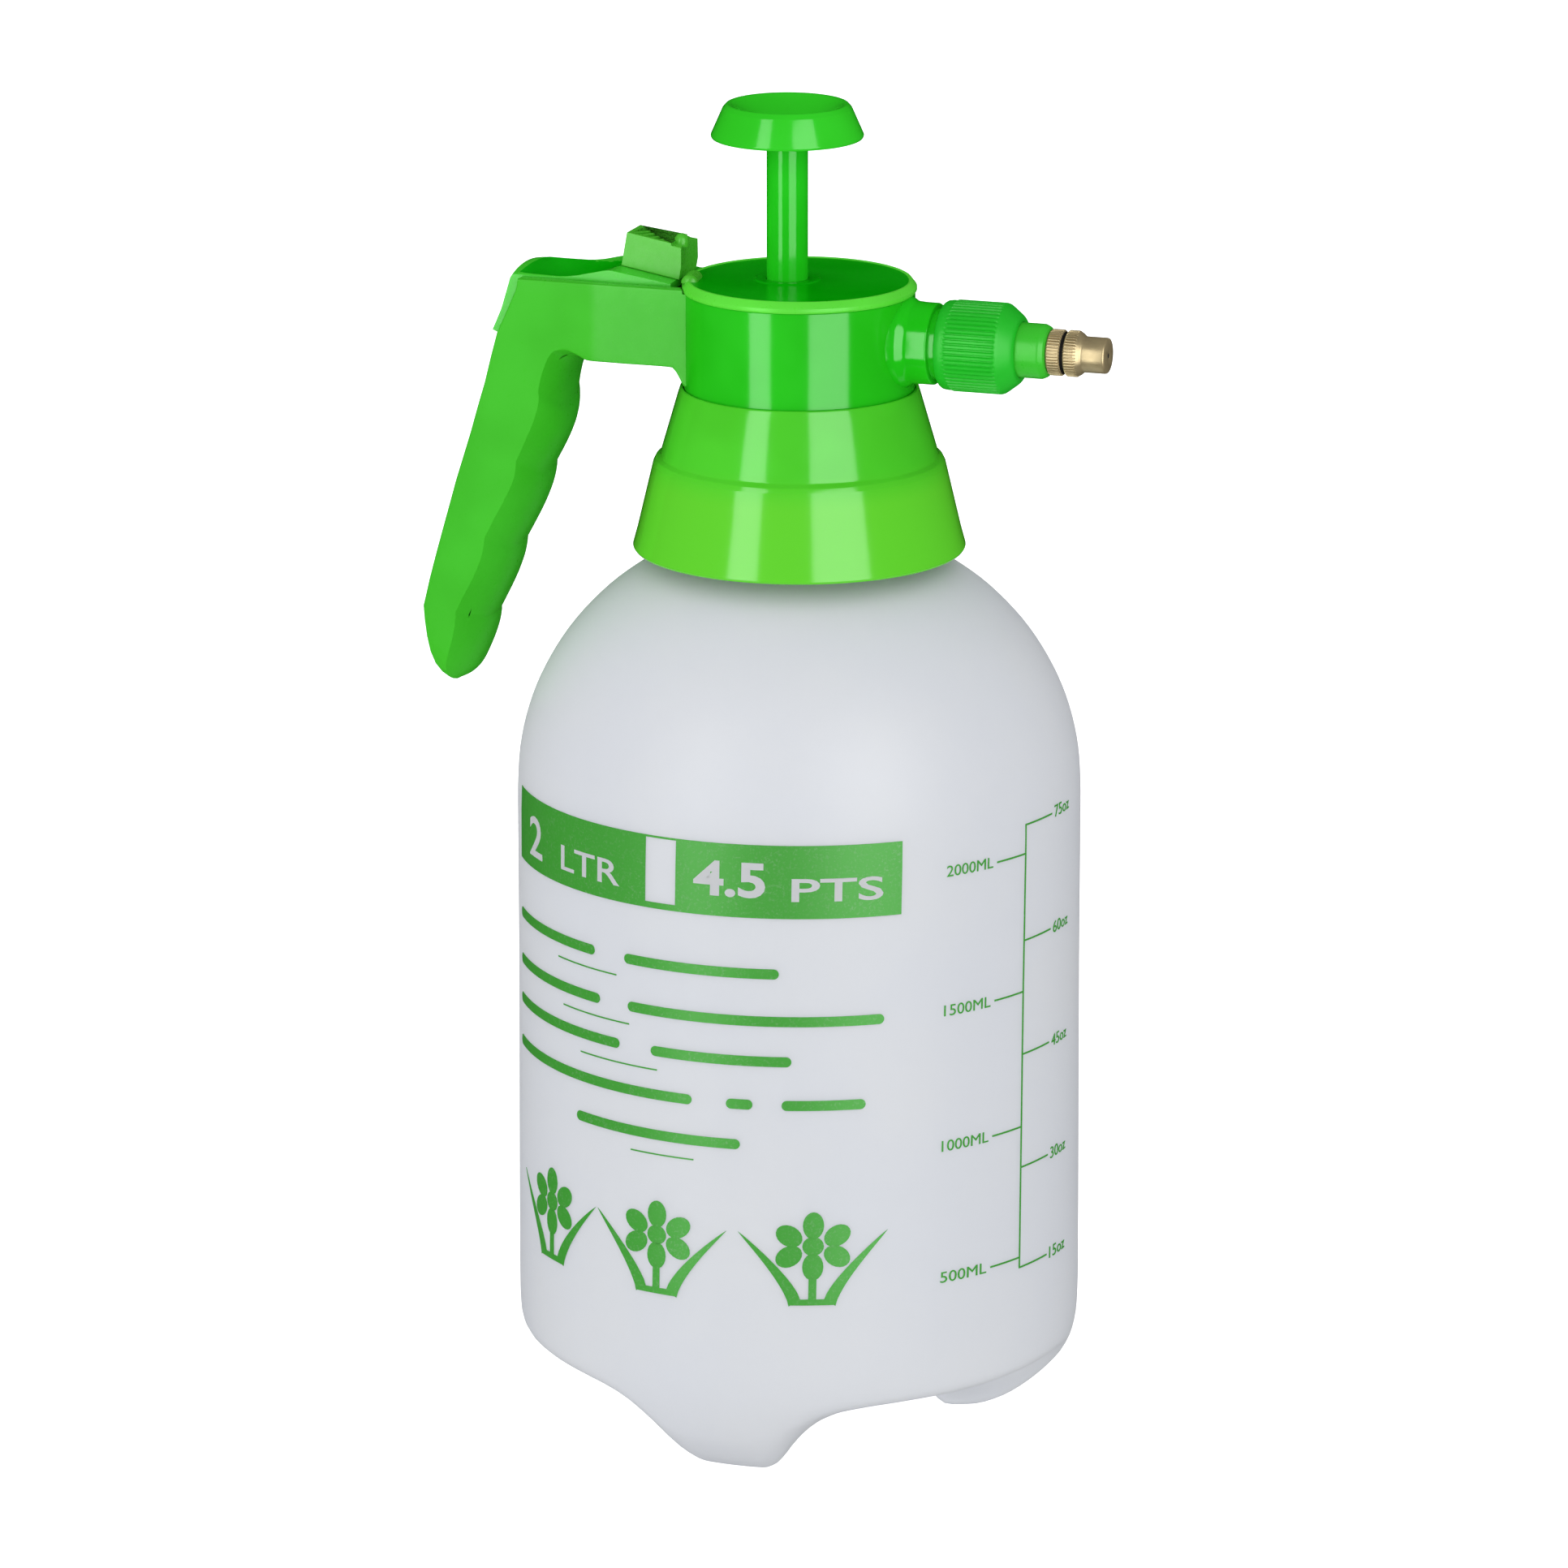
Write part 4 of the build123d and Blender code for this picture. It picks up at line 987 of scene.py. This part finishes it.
extra = []
for p, q in zip(cov, cov[1:] + cov[:1]):
    extra.append(p)
    if abs(p[1] - q[1]) < 0.01 and abs(p[0] - q[0]) > 8:
        for k in range(1, 8):
            extra.append((lerp(p[0], q[0], k / 8), p[1]))
cvv, cvf = lathe_data(extra, 200, True, cover_place)
cover = obj_from("cover_disc", cvv, cvf, M_PAINTED_SHADE_GREEN, "head", 30)
# painted shade and highlight: the disc's top keeps the darker green, and the faces beyond r 26.4 mm (the chamfered rim)
# get a lighter green, standing in for the dark reflection on the top and the light caught by the chamfer
cover.data.materials.append(M_DISC_EDGE_PAINTED_HIGHLIGHT)
for p_ in cover.data.polygons:
    if math.hypot(p_.center.x, p_.center.y) > 0.0264:
        p_.material_index = 1
lug_pts = []
lug_prof = [(0.0, 4.0), (0.9, 3.85), (1.6, 3.5), (2.0, 2.9), (2.1, 1.5), (2.1, 0.0)]
lv, lf = [], []
LN = 20
sec = []
for k in range(LN + 1):
    y = lerp(-4.2, 4.2, k / LN)
    edge = min(1.0, (4.2 - abs(y)) / 1.2)
    rad = 2.05 * math.sqrt(max(0.0, 1 - (1 - edge) ** 2)) + 0.05
    row = []
    for j in range(13):
        a = math.pi * j / 12
        row.append((-25.7 + rad * math.cos(a), y, 287.3 + rad * 0.95 * math.sin(a)))
    sec.append(row)
ca, sa = math.cos(math.radians(8)), math.sin(math.radians(8))
for row in sec:
    for x, y, z in row:
        yy = y - 3.8
        lv.append((x * ca - yy * sa, x * sa + yy * ca, z))
for k in range(LN):
    for j in range(12):
        a = k * 13 + j
        lf.append((a, a + 1, a + 14, a + 13))
    lf.append((k * 13 + 12, k * 13, (k + 1) * 13, (k + 1) * 13 + 12))
lf.append(tuple(range(12, -1, -1)))
lf.append(tuple(LN * 13 + j for j in range(13)))
obj_from("cover_lug", lv, lf, M_BLOCK, "head", 40)
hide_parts("head_cover")

# ---------------------------------------------------------------------------
# rod and knob
# ---------------------------------------------------------------------------
rod = rounded([(0, 178.9), (3.0, 178.9, 0), (3.0, 189.0, 0), (5.0, 189.0, 0.3), (5.0, 326.9, 0), (0, 326.9)], closed=False)
rodo = lathe_z("rod_stem", rod, M_ROD, "pump", seg=96, closed=False, cx=EX)
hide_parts("pump_rod")
kp = rounded([(0, 324.1), (7.6, 324.1, 0.3), (7.6, 324.9, 0.4), (12.6, 328.3, 1.2), (14.2, 328.7, 0.5), (16.9, 323.7, 0.2), (18.2, 323.6, 0.35), (18.5, 324.3, 0.6),
              (15.6, 330.9, 1.0), (14.6, 332.0, 0.7), (13.5, 331.8, 0.7), (6.4, 327.6, 2.2), (0, 327.5)], closed=False, steps=6)
kp = [(r_, z_ - 1.2) for r_, z_ in kp]
knobo = lathe_z("knob_disc", kp, M_KNOB, "pump", seg=160, closed=False, cx=EX)
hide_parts("pump_knob")

# ---------------------------------------------------------------------------
# thumb lever
# ---------------------------------------------------------------------------
SLOPE = math.tan(math.radians(10.0))


def deck(x):
    return 289.5 - (x + 43.3) * SLOPE


ZR = ((-69.2, 286.7), (-67.5, 286.9), (-64.0, 286.9), (-58.0, 286.8), (-54.3, 286.9), (-49.5, 287.6), (-46.0, 288.7), (-43.4, 289.45), (-43.0, 289.45))
YR = ((-69.2, 9.6), (-66.0, 10.2), (-58.0, 10.25), (-54.8, 9.7), (-50.6, 8.3), (-46.5, 6.9), (-43.0, 6.3), (-29.0, 6.3))
ZC = ((-69.2, 286.7), (-58.0, 286.85), (-54.8, 287.15), (-49.0, 288.4), (-44.8, 289.15), (-41.9, 288.8), (-36.5, 288.0), (-32.3, 287.35), (-29.0, 286.9))
DD = ((-69.2, 0.0), (-66.5, 1.0), (-62.0, 1.9), (-55.0, 2.0), (-50.0, 1.3), (-46.0, 0.5), (-43.6, 0.0))
HWL = 10.7


def top_z(x, y):
    ay = abs(y)
    yr = soft_table(YR, x)
    zr = soft_table(ZR, x) if x < -43.3 else deck(x)
    zc = soft_table(ZC, x)
    if ay <= yr:
        if x < -43.4:
            d = table(DD, x)
            return zr - d * (1 - (ay / yr) ** 2) ** 0.75
        return zr
    return lerp(zr, zc, (ay - yr) / (HWL - yr))


def rear_crown(x, y):
    return 1.2 * max(0.0, min(1.0, (-63.5 - x) / 5.5)) * (1 - (y / HWL) ** 2)


xs = [-69.2 + 0.75 * k for k in range(0, 54)]
xs = [x for x in xs if x < -29.3] + [-29.25]
fy = [-1.0, -0.985, -0.96, -0.9, -0.8, -0.68, -0.56, -0.45, -0.34, -0.22, -0.11, 0.0, 0.11, 0.22, 0.34, 0.45, 0.56, 0.68, 0.8, 0.9, 0.96, 0.985, 1.0]
ys_n = 33
grid = []
for x in xs:
    yr = soft_table(YR, x)
    row = [-HWL, -HWL + 0.12, -lerp(yr, HWL, 0.6), -yr - 0.10, -yr, -yr + 0.2] + [(-yr + 0.2) * (1 - k / 10) for k in range(1, 10)] + [0.0]
    row = row + [-q for q in row[-2::-1]]
    grid.append([(x, y, top_z(x, y) + rear_crown(x, y) - (0.10 if abs(y) > HWL - 0.05 else 0.0)) for y in row])
W = len(grid[0])
# rear end rolls over into the tail
tail_line = [(-69.9, 286.6), (-70.5, 285.7), (-71.2, 283.4), (-72.1, 280.4), (-72.9, 277.8), (-74.2, 274.8), (-75.2, 272.5)]
tail = []
for i, (tx, tz) in enumerate(tail_line):
    row = []
    for k in range(W):
        y = grid[0][k][1]
        y = y / HWL * (HWL - 0.15 * min(i, 2) * 0.5)
        crown = 0.25 * (1 - (y / HWL) ** 2)
        row.append((tx - crown, y, tz + 1.2 * max(0.0, 1 - i / 3.0) * (1 - (y / HWL) ** 2)))
    tail.append(row)
outer = tail[::-1] + grid
TH = 1.9
inner_rows = []
for i, row in enumerate(outer):
    a = outer[max(i - 1, 0)][W // 2]
    b = outer[min(i + 1, len(outer) - 1)][W // 2]
    tx, tz = b[0] - a[0], b[2] - a[2]
    mm = math.hypot(tx, tz)
    nx, nz = tz / mm, -tx / mm
    th = TH if row[0][0] > -69.5 else lerp(1.9, 3.4, min(1.0, (-69.5 - row[0][0]) / 2.0))
    new = []
    for (x, y, z) in row:
        drop = 0.0
        if x > -64.0 and abs(y) > HWL - 1.7:
            # no drop is applied here; the cheeks are the separate prisms built below
            drop = 0.0
        zz = z - th if nz < -0.7 else z + nz * th
        xx = x if nz < -0.7 else x + nx * th
        new.append((xx, y * 0.999, zz))
    inner_rows.append(new)
lvts, lfcs = [], []
for row in outer:
    lvts += row
off = len(lvts)
for row in inner_rows:
    lvts += row
R = len(outer)
for i in range(R - 1):
    for k in range(W - 1):
        a = i * W + k
        lfcs.append((a, a + 1, a + W + 1, a + W))
        lfcs.append((off + a, off + a + W, off + a + W + 1, off + a + 1))
    a, b = i * W, i * W + W - 1
    lfcs.append((a, a + W, off + a + W, off + a))
    lfcs.append((b, off + b, off + b + W, b + W))
for k in range(W - 1):
    lfcs.append((k, off + k, off + k + 1, k + 1))
    a = (R - 1) * W + k
    lfcs.append((a, a + 1, off + a + 1, off + a))
lever = obj_from("lever_pad", lvts, lfcs, M_LEVER, "lever", 24)
slot_v, slot_f = box_data(-5.1, 8.6, -2.2, 2.2, -6, 6)
c, s = math.cos(math.radians(10)), math.sin(math.radians(10))
slot_v = [(-36.0 + x * c + z * s, y, deck(-36.0) - x * s + z * c) for x, y, z in slot_v]
lever = boolean(lever, [obj_from("c7", slot_v, slot_f, None, None)], "DIFFERENCE")
smooth_by(lever, 24)
# painted shade: the lever's up-facing dish gets the darker green, standing in for the dim light on surfaces that face
# up
lever.data.materials.append(M_PAINTED_SHADE_GREEN)
for p_ in lever.data.polygons:
    q_ = p_.center
    if -0.0688 < q_.x < -0.0436 and abs(q_.y) < soft_table(YR, q_.x * 1000) * 0.001 - 0.0001 and q_.z > 0.2835 and p_.normal.z > 0.3:
        p_.material_index = 1
# cheeks, pivot hub and the rail that presses the valve
cheek = [(-29.6, 285.6), (-43.6, 287.6), (-48.0, 287.0), (-54.0, 285.6), (-62.0, 285.2), (-62.0, 284.4), (-56.0, 283.6), (-50.0, 282.9), (-40.0, 283.0),
         (-38.0, 277.2), (-35.6, 275.4), (-33.0, 275.0), (-30.6, 275.8), (-29.6, 278.0)]
parts = []
for s in (-1, 1):
    parts.append(prism_data(cheek, min(s * HWL, s * (HWL - 1.7)), max(s * HWL, s * (HWL - 1.7))))
cheeks = join("lever_cheeks", parts, M_LEVER, "lever", 32)
bevel(cheeks, 0.25, 2)
smooth_by(cheeks, 40)


def cyl_y(r, y0, y1, cx, cz, seg=48, bore=0.0):
    prof = [(0 if not bore else bore, y0), (r, y0), (r, y1), (0 if not bore else bore, y1)]
    return lathe_data(rounded([(p[0], p[1], 0.2 if 0 < i < 3 else 0) for i, p in enumerate(prof)], closed=bool(bore)), seg, bool(bore),
                      lambda rr, a, h: (cx + rr * math.cos(a), h, cz + rr * math.sin(a)))


hub = cyl_y(3.2, -HWL + 0.05, HWL - 0.05, -33.0, 279.0, bore=1.54)
rail = cyl_y(2.6, -HWL + 0.6, HWL - 0.6, -44.0, 286.2)
join("lever_hub", [hub, rail], M_LEVER, "lever", 32)
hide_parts("trigger_lever")

# ---------------------------------------------------------------------------
# lock slider: ribbed block with a round pip
# ---------------------------------------------------------------------------
BL, BW, BH = 15.0, 12.6, 8.5


def to_lock(p):
    x, y, z = p
    return (-36.0 + x * math.cos(math.radians(10)) + z * math.sin(math.radians(10)), y,
            deck(-36.0) - x * math.sin(math.radians(10)) + z * math.cos(math.radians(10)))


bv, bf = box_data(-BL / 2, BL / 2, -BW / 2, BW / 2, 0.12, BH)
bv = [(x, (3.4 if (x < 0 and y > 0) else y), z) for x, y, z in bv]
blk = obj_from("lock_block", [to_lock(p) for p in bv], bf, M_BLOCK, "lock", 30)
tv2, tf2 = box_data(-BL / 2 + 1.1, BL / 2 - 3.6, -BW / 2 + 1.2, BW / 2 - 1.2, BH - 1.1, BH + 3)
tv2 = [(x, (2.2 if (x < 0 and y > 0) else y), z) for x, y, z in tv2]
fr2, ff2 = box_data(BL / 2 - 3.4, BL / 2 + 2, -BW / 2 - 1, BW / 2 + 1, BH - 0.55, BH + 3)
cover_ring, cover_rf = lathe_data([(0, 270.0), (28.72, 270.0), (28.72, 300.0), (0, 300.0)], 120, False, lambda r, a, h: (r * math.cos(a), r * math.sin(a), h))
blk = boolean(blk, [obj_from("c8", [to_lock(p) for p in tv2], tf2, None, None), obj_from("c9", [to_lock(p) for p in fr2], ff2, None, None),
                    obj_from("c10", cover_ring, cover_rf, None, None)], "DIFFERENCE")
bevel(blk, 0.35, 3, 30)
smooth_by(blk, 40)
parts = []
for i in range(4):
    cx = -4.6 + 2.45 * i
    rv, rf = box_data(-0.55, 0.55, -BW / 2 + 1.1, BW / 2 - 1.1, BH - 1.2, BH - 0.12)
    ang = math.radians(-24)
    rv = [to_lock((cx + x * math.cos(ang) - y * math.sin(ang), x * math.sin(ang) + y * math.cos(ang), z)) for x, y, z in rv]
    rv = [(p[0], max(-BW / 2 + 0.9, min((BW / 2 if p[0] > -36 else lerp(3.4, BW / 2, max(0.0, (p[0] + 43.4) / 14.8))) - 1.3, p[1])), p[2]) for p in rv]
    parts.append((rv, rf))
ribs_o = join("lock_ribs", parts, M_BLOCK, "lock", 30)
bevel(ribs_o, 0.22, 2, 30)
smooth_by(ribs_o, 40)
pip_prof = [(0, BH + 1.75), (0.55, BH + 1.68), (1.05, BH + 1.45), (1.45, BH + 1.05), (1.7, BH + 0.5), (1.85, BH - 0.2), (1.9, BH - 1.2), (0, BH - 1.2)]
pv2, pf2 = lathe_data(pip_prof, 32, False, lambda r, a, h: to_lock((BL / 2 - 2.5 + r * math.cos(a), -1.2 + r * math.sin(a), h)))
obj_from("lock_pip", pv2, pf2, M_BLOCK, "lock", 40)
fv, ff = box_data(0.2, 3.2, -2.0, 2.0, -3.4, 0.6)
foot_o = obj_from("lock_foot", [to_lock(p) for p in fv], ff, M_BLOCK, "lock", 30)
bevel(foot_o, 0.25, 2, 30)
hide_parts("lock_slider")

# ---------------------------------------------------------------------------
# nozzle: cap nut, tube, brass
# ---------------------------------------------------------------------------
def knurl_x(name, prof, ridge, n, mat, body, r_split, seg_per=10, angle=30):
    """Lathe about the nozzle axis. Points whose flag is 1 carry the ridges: prof (x, r, flag)."""
    seg = n * seg_per

    def place(r, a, h, flag):
        if flag:
            ph = (a * n / (2 * math.pi)) % 1.0
            w = abs(ph - 0.5) * 2               # 0 on the ridge, 1 in the groove
            g = min(1.0, max(0.0, (w - 0.42) / 0.36))
            g = g * g * (3 - 2 * g)
            r = r - ridge * g * flag
        return (h, r * math.cos(a), 274.3 + r * math.sin(a))
    verts, faces = [], []
    for x, r, flag in prof:
        for k in range(seg):
            verts.append(place(r, 2 * math.pi * k / seg, x, flag))
    m = len(prof)
    for i in range(m):
        j = (i + 1) % m
        for k in range(seg):
            k2 = (k + 1) % seg
            faces.append((i * seg + k, i * seg + k2, j * seg + k2, j * seg + k))
    return obj_from(name, verts, faces, mat, body, angle)


cap_prof = [(36.9, 8.6, 0), (36.9, 10.0, 0), (37.1, 10.4, 0), (37.6, 10.72, 0), (38.6, 10.85, 0), (39.4, 10.86, 0), (39.6, 10.9, 0.3), (39.85, 11.0, 0.8), (40.2, 11.05, 1), (46.0, 11.05, 1),
            (51.6, 11.05, 1), (52.0, 11.0, 0.7), (52.3, 10.9, 0.15), (52.6, 10.78, 0), (53.0, 10.5, 0), (53.6, 10.05, 0), (55.3, 8.75, 0), (55.8, 8.3, 0), (56.05, 8.0, 0),
            (56.2, 7.6, 0), (56.2, 6.75, 0), (50.4, 6.75, 0), (50.4, 8.6, 0)]
cap = knurl_x("cap_shell", cap_prof, 0.45, 54, M_CAP, "cap_nut", 0)
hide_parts("nozzle_cap_nut")
tube_prof = rounded([(48.2, 2.6, 0), (48.2, 8.4, 0.2), (50.3, 8.4, 0.2), (50.3, 6.65, 0), (61.8, 6.65, 1.4), (63.1, 6.05, 1.0), (63.4, 5.3, 0.3), (63.4, 4.0, 0), (54.0, 4.0, 0), (54.0, 2.6, 0)], steps=5)
tube = lathe_x("tube_shell", tube_prof, M_TUBE, "nozzle", seg=112)
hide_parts("nozzle_tube")
base_prof = [(54.2, 1.4, 0), (54.2, 3.98, 0), (63.5, 3.98, 0), (63.5, 5.15, 0), (63.65, 5.4, 0.4), (63.9, 5.6, 1), (65.2, 5.6, 1), (66.5, 5.6, 1), (66.75, 5.42, 0.4), (66.9, 5.1, 0),
             (66.95, 4.2, 0), (67.6, 4.15, 0), (67.65, 3.2, 0), (72.0, 3.2, 0), (72.0, 1.4, 0)]
nbase = knurl_x("brass_base", base_prof, 0.42, 44, M_BRASS, "nozzle", 0, seg_per=8)
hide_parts("nozzle_base")
tip_prof = [(67.75, 3.26, 0), (67.75, 5.1, 0), (67.9, 5.4, 0.4), (68.15, 5.6, 1), (69.3, 5.6, 1), (70.4, 5.6, 1), (70.65, 5.42, 0.4), (70.9, 5.25, 0), (71.2, 5.1, 0), (71.9, 4.5, 0), (72.1, 4.37, 0),
            (72.4, 4.35, 0), (74.8, 4.35, 0), (77.2, 4.35, 0), (77.5, 4.3, 0), (77.7, 4.18, 0), (77.8, 4.0, 0), (77.8, 0.72, 0), (77.75, 0.62, 0), (77.5, 0.55, 0), (73.0, 0.55, 0),
            (73.0, 3.26, 0)]
ntip = knurl_x("brass_tip", tip_prof, 0.42, 44, M_BRASS, "tip", 0, seg_per=8)
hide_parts("nozzle_tip")
# painted shade: the inside of the spray hole and the gap between the two knurls get the near-black material in place of
# their shade
for ob_, x0_, x1_, r_ in ((ntip, 0.0729, 0.0777, 0.0011), (nbase, 0.0669, 0.0676, 0.0047)):
    ob_.data.materials.append(M_PAINTED_BORE_SHADE)
    for p_ in ob_.data.polygons:
        q_ = p_.center
        if x0_ <= q_.x <= x1_ and math.hypot(q_.y, q_.z - 0.2743) < r_:
            p_.material_index = 1

# ---------------------------------------------------------------------------
# stage, light, camera
# ---------------------------------------------------------------------------
fm, nt, b, tc = new_mat("floor_pale")
n = noise(nt, tc, 3.0, 2.0)
nt.links.new(mix_rgb(nt, n.outputs["Fac"], (0.93, 0.93, 0.93, 1), (0.95, 0.95, 0.95, 1)), b.inputs["Base Color"])
b.inputs["Roughness"].default_value = 0.9
b.inputs["Specular IOR Level"].default_value = 0.0
b.inputs["Emission Color"].default_value = (1, 1, 1, 1)
b.inputs["Emission Strength"].default_value = 0.8
me = bpy.data.meshes.new("floor")
me.from_pydata([(-14, -14, 0), (14, -14, 0), (14, 14, 0), (-14, 14, 0)], [], [(0, 1, 2, 3)])
floor = bpy.data.objects.new("floor", me)
bpy.context.scene.collection.objects.link(floor)
me.materials.append(fm)
floor.visible_diffuse = False
floor.visible_glossy = False
floor.visible_transmission = False

WORLD = 0.90
scene = bpy.context.scene
world = bpy.data.worlds.new("studio")
scene.world = world
world.use_nodes = True
world.cycles_visibility.glossy = False
wn = world.node_tree
wn.nodes.clear()
wo = wn.nodes.new("ShaderNodeOutputWorld")
bg = wn.nodes.new("ShaderNodeBackground")
wtc = wn.nodes.new("ShaderNodeTexCoord")
wsep = wn.nodes.new("ShaderNodeSeparateXYZ")
wn.links.new(wtc.outputs["Generated"], wsep.inputs[0])


def wmath(op, a, b=None):
    m = wn.nodes.new("ShaderNodeMath")
    m.operation = op
    for i, v in enumerate((a, b)):
        if v is None:
            continue
        if isinstance(v, bpy.types.NodeSocket):
            wn.links.new(v, m.inputs[i])
        else:
            m.inputs[i].default_value = v
    return m.outputs[0]


def wramp(src, a, b, c, d):
    m = wn.nodes.new("ShaderNodeMapRange")
    m.interpolation_type = "SMOOTHSTEP"
    wn.links.new(src, m.inputs[0])
    for i, v in enumerate((a, b, c, d)):
        m.inputs[1 + i].default_value = v
    return m.outputs[0]


# soft room: even all round, dim overhead and dim at the back above the floor line
WX, WY = math.cos(math.radians(108.4)), math.sin(math.radians(108.4))
behind = wmath("ADD", wmath("MULTIPLY", wsep.outputs["X"], WX), wmath("MULTIPLY", wsep.outputs["Y"], WY))
up = wsep.outputs["Z"]
dim_back = wmath("MULTIPLY", wramp(behind, 0.35, 0.8, 0.0, 1.0), wramp(up, -0.12, 0.02, 0.0, 1.0))
dim_top = wramp(up, 0.45, 0.9, 0.0, 0.05)
level = wmath("MULTIPLY", wmath("SUBTRACT", 1.0, wmath("MULTIPLY", dim_back, 0.45)), wmath("SUBTRACT", 1.0, dim_top))
wn.links.new(wmath("MULTIPLY", level, WORLD), bg.inputs[1])
bg.inputs[0].default_value = (0.985, 0.99, 1.0, 1)
wn.links.new(bg.outputs[0], wo.inputs[0])


def softbox(name, az, dist, w, z0, z1, energy, tint=(1, 1, 1)):
    li = bpy.data.lights.new(name, "AREA")
    li.shape = "RECTANGLE"
    li.size = w
    li.size_y = z1 - z0
    li.energy = energy
    li.color = tint
    ob = bpy.data.objects.new(name, li)
    a = math.radians(az)
    ob.location = (dist * math.cos(a), dist * math.sin(a), (z0 + z1) / 2)
    ob.rotation_euler = Vector((-math.cos(a), -math.sin(a), 0)).to_track_quat("-Z", "Y").to_euler()
    scene.collection.objects.link(ob)
    return ob


CAM_AZ = -71.6
for nm, az, w, watts in (("soft_left", CAM_AZ - 39.6, 0.57, 25.0), ("soft_right", CAM_AZ + 29.3, 1.10, 46.0)):
    lo_ = softbox(nm, az, 1.5, w, -0.7, 1.5, watts)
    lo_.visible_diffuse = False
fill = softbox("fill_front", CAM_AZ, 2.6, 2.4, -0.6, 2.2, 15.0)
fill.visible_glossy = False
fill2 = softbox("fill_left", CAM_AZ - 75.0, 2.4, 1.6, -0.6, 1.6, 5.0)
fill2.visible_glossy = False

cam = bpy.data.cameras.new("camera")
cam.sensor_width = 36.0
cam.sensor_fit = "HORIZONTAL"
cam.lens = 10400.0 / 1932.0 * 36.0
cam.clip_start = 0.05
cam.clip_end = 60.0
co = bpy.data.objects.new("camera", cam)
scene.collection.objects.link(co)
A, P = math.radians(18.5), math.radians(15.24)
K, F, U0, Z0 = 0.199, 10400.0, 18.8, 812.1
# aim at the point on the optical axis beside the object
right = Vector((math.cos(A), math.sin(A), 0))
front = Vector((math.sin(A), -math.cos(A), 0))
aim = (right * (-U0) * K + Vector((0, 0, Z0 * K))) * S
back_dir = Vector((front.x * math.cos(P), front.y * math.cos(P), math.sin(P)))
co.location = aim + back_dir * (F * K * S)
co.rotation_euler = (-back_dir).to_track_quat("-Z", "Y").to_euler()
scene.camera = co
scene.view_settings.view_transform = "Standard"
scene.view_settings.look = "None"
scene.view_settings.exposure = 0.0
scene.view_settings.gamma = 1.0
